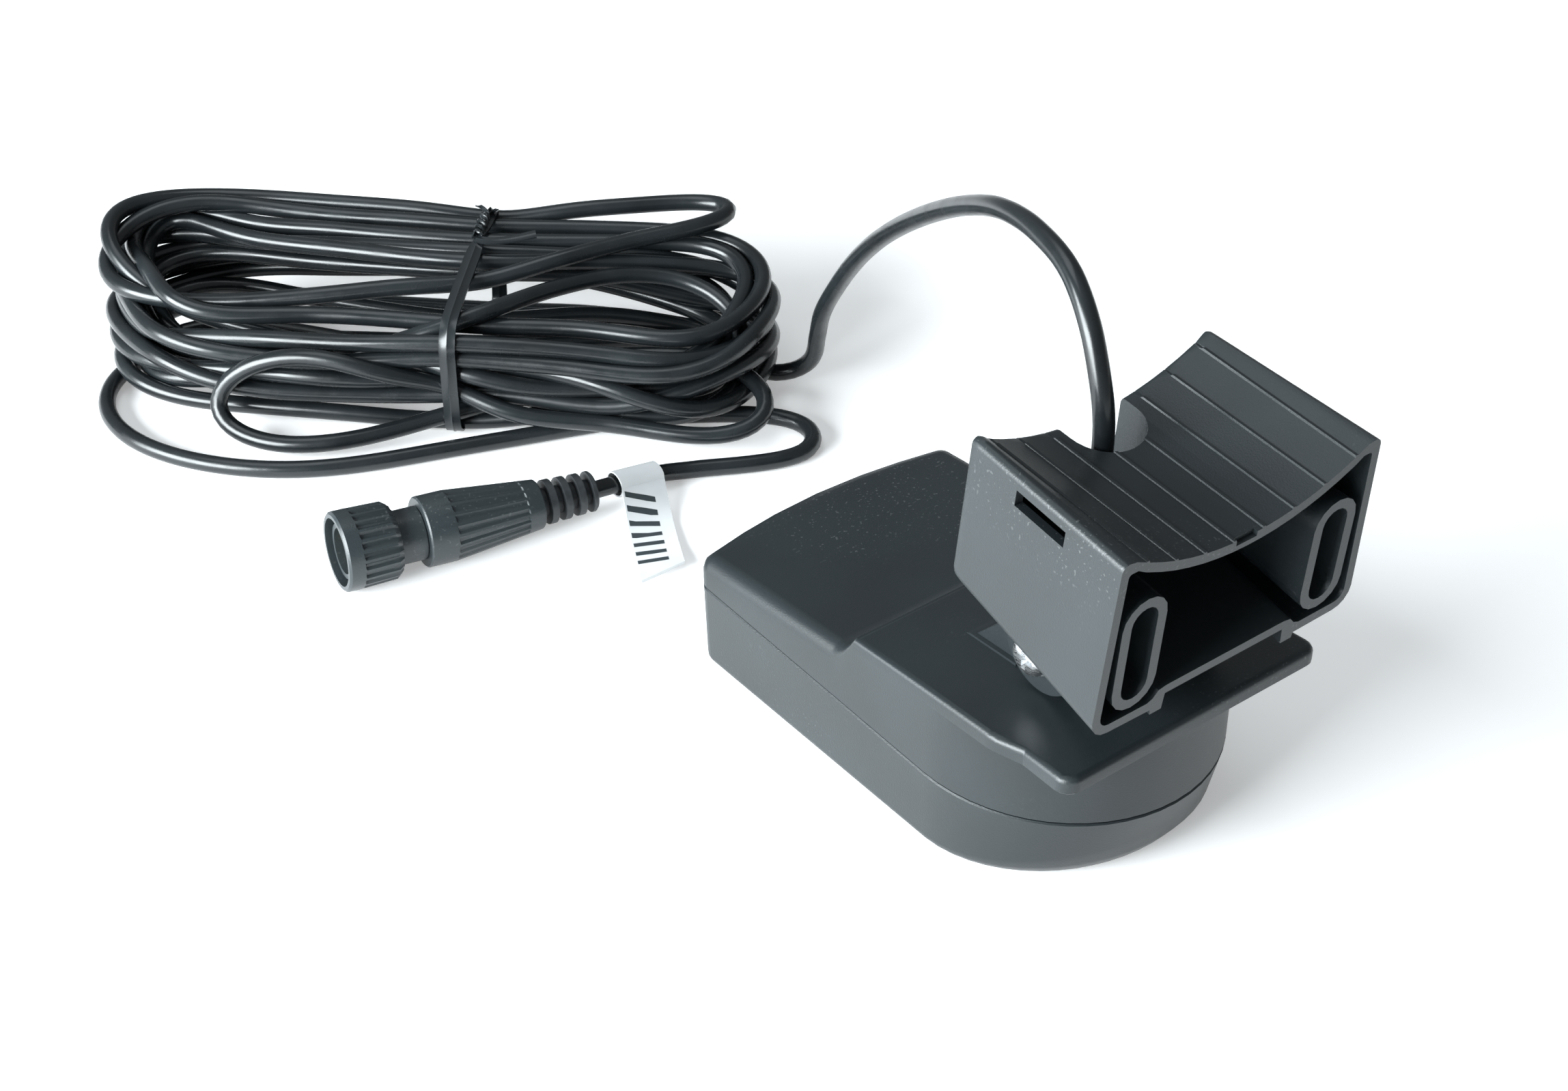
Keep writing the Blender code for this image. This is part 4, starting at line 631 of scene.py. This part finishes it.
PINS = [f"contact_pin_{k}" for k in range(1, 6)]
ON_CABLE = ["coupling_collar", "plug_barrel", "plug_backshell", "strain_relief", "cable_tag"]
SMOOTH_NODES = ["transducer_lower_shell", "transducer_upper_shell", "saddle_bracket", "cable_gland",
                "tilt_bolt", "head_washer"] + ON_CABLE
BODIES = {"saddle_bracket": "bracket", "coupling_collar": "collar"}
FINISHES = {
    "transducer_lower_shell": SHELL, "transducer_upper_shell": SHELL, "saddle_bracket": SHELL,
    "cable_gland": JACKET, "piezo_disc": CERAMIC, "cork_backing": CORK, "resin_fill": RESIN,
    "signal_lead": RED, "return_lead": GREY, "tilt_bolt": STEEL, "head_washer": STEEL,
    "nut_washer": STEEL, "tilt_nut": STEEL, "coupling_collar": PLUG, "plug_barrel": PLUG,
    "plug_backshell": PLUG, "strain_relief": SOFT, "plug_seal": SOFT, "hank_tie": JACKET,
    "cable_tag": TAG, "cable_arch": JACKET, "cable_hank": JACKET, "cable_tail": JACKET,
}
FINISHES.update({name: BRASS for name in PINS})
WELD = 2e-6  # metres
SKIN_SHARP = 33  # degrees
NORMAL_WEIGHT = 90


def finish_node(node, made):
    """Gives a CAD node its material."""
    for slot in node.material_slots:
        slot.material = made
    if not node.material_slots:
        node.data.materials.append(made)


def smooth_skin(name):
    """A welded, smooth-shaded copy of a CAD node, which stands for it."""
    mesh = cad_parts[name].data.copy()
    work = bmesh.new()
    work.from_mesh(mesh)
    bmesh.ops.remove_doubles(work, verts=work.verts, dist=WELD)
    work.to_mesh(mesh)
    work.free()
    if "custom_normal" in mesh.attributes:
        mesh.attributes.remove(mesh.attributes["custom_normal"])
    mesh.shade_smooth()
    mesh.set_sharp_from_angle(angle=math.radians(SKIN_SHARP))
    made = place(f"{name}_skin", mesh)
    weighted = made.modifiers.new("normals", 'WEIGHTED_NORMAL')
    weighted.keep_sharp = True
    weighted.weight = NORMAL_WEIGHT
    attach(made, BODIES.get(name, "transducer"))
    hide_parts(name)
    return made


for name, finish in FINISHES.items():
    finish_node(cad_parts[name], finish)
for piece in [jacket] + tie:
    piece.data.materials.append(JACKET)
skins = {name: smooth_skin(name) for name in SMOOTH_NODES}

# ---------------------------------------------------------------- floor and light

FLOOR_REACH = 6.0  # metres
FLOOR_GLOW = 0.30
ROOM_COLOUR = (0.92, 1.0, 1.04)
ROOM_STRENGTH = 0.26
BOX_COLOUR = (0.93, 1.0, 1.03)


def floor():
    """A wide, nearly white floor that glows a little."""
    r = FLOOR_REACH
    mesh = bpy.data.meshes.new("floor")
    mesh.from_pydata([(-r, -r, 0), (r, -r, 0), (r, r, 0), (-r, r, 0)], [], [(0, 1, 2, 3)])
    paper, tree, main = shader("floor_paper", (0.93,) * 3, roughness=0.9)
    tint = ramp(tree, noise(tree, scale=3.0, detail=2.0), 0.3, (0.92,) * 3, 0.7, (0.94,) * 3)
    tree.links.new(tint, main.inputs["Base Color"])
    main.inputs["Emission Color"].default_value = (*WHITE, 1.0)
    main.inputs["Emission Strength"].default_value = FLOOR_GLOW
    mesh.materials.append(paper)
    place("floor", mesh)


def softbox(name, at, toward, width, height, watts):
    """A rectangular area light."""
    data = bpy.data.lights.new(name, 'AREA')
    data.shape = 'RECTANGLE'
    data.size = width
    data.size_y = height
    data.energy = watts
    data.color = BOX_COLOUR
    made = place(name, data)
    made.location = at
    made.rotation_euler = (Vector(toward) - Vector(at)).to_track_quat('-Z', 'Y').to_euler()


def light():
    """A bright room, a strong box on the left and a weak one overhead."""
    world = bpy.data.worlds.new("studio")
    bpy.context.scene.world = world
    world.use_nodes = True
    back = world.node_tree.nodes["Background"]
    back.inputs["Color"].default_value = (*ROOM_COLOUR, 1.0)
    back.inputs["Strength"].default_value = ROOM_STRENGTH
    softbox("left_box", at=(-1.15, 0.2, 0.42), toward=(0.0, 0.1, 0.03),
            width=1.1, height=0.7, watts=62.0)
    softbox("top_box", at=(-0.1, 0.5, 1.4), toward=(0.0, 0.1, 0.0),
            width=1.0, height=0.7, watts=4.0)


floor()
light()
bpy.context.scene.view_settings.view_transform = 'Standard'

bpy.context.view_layer.update()
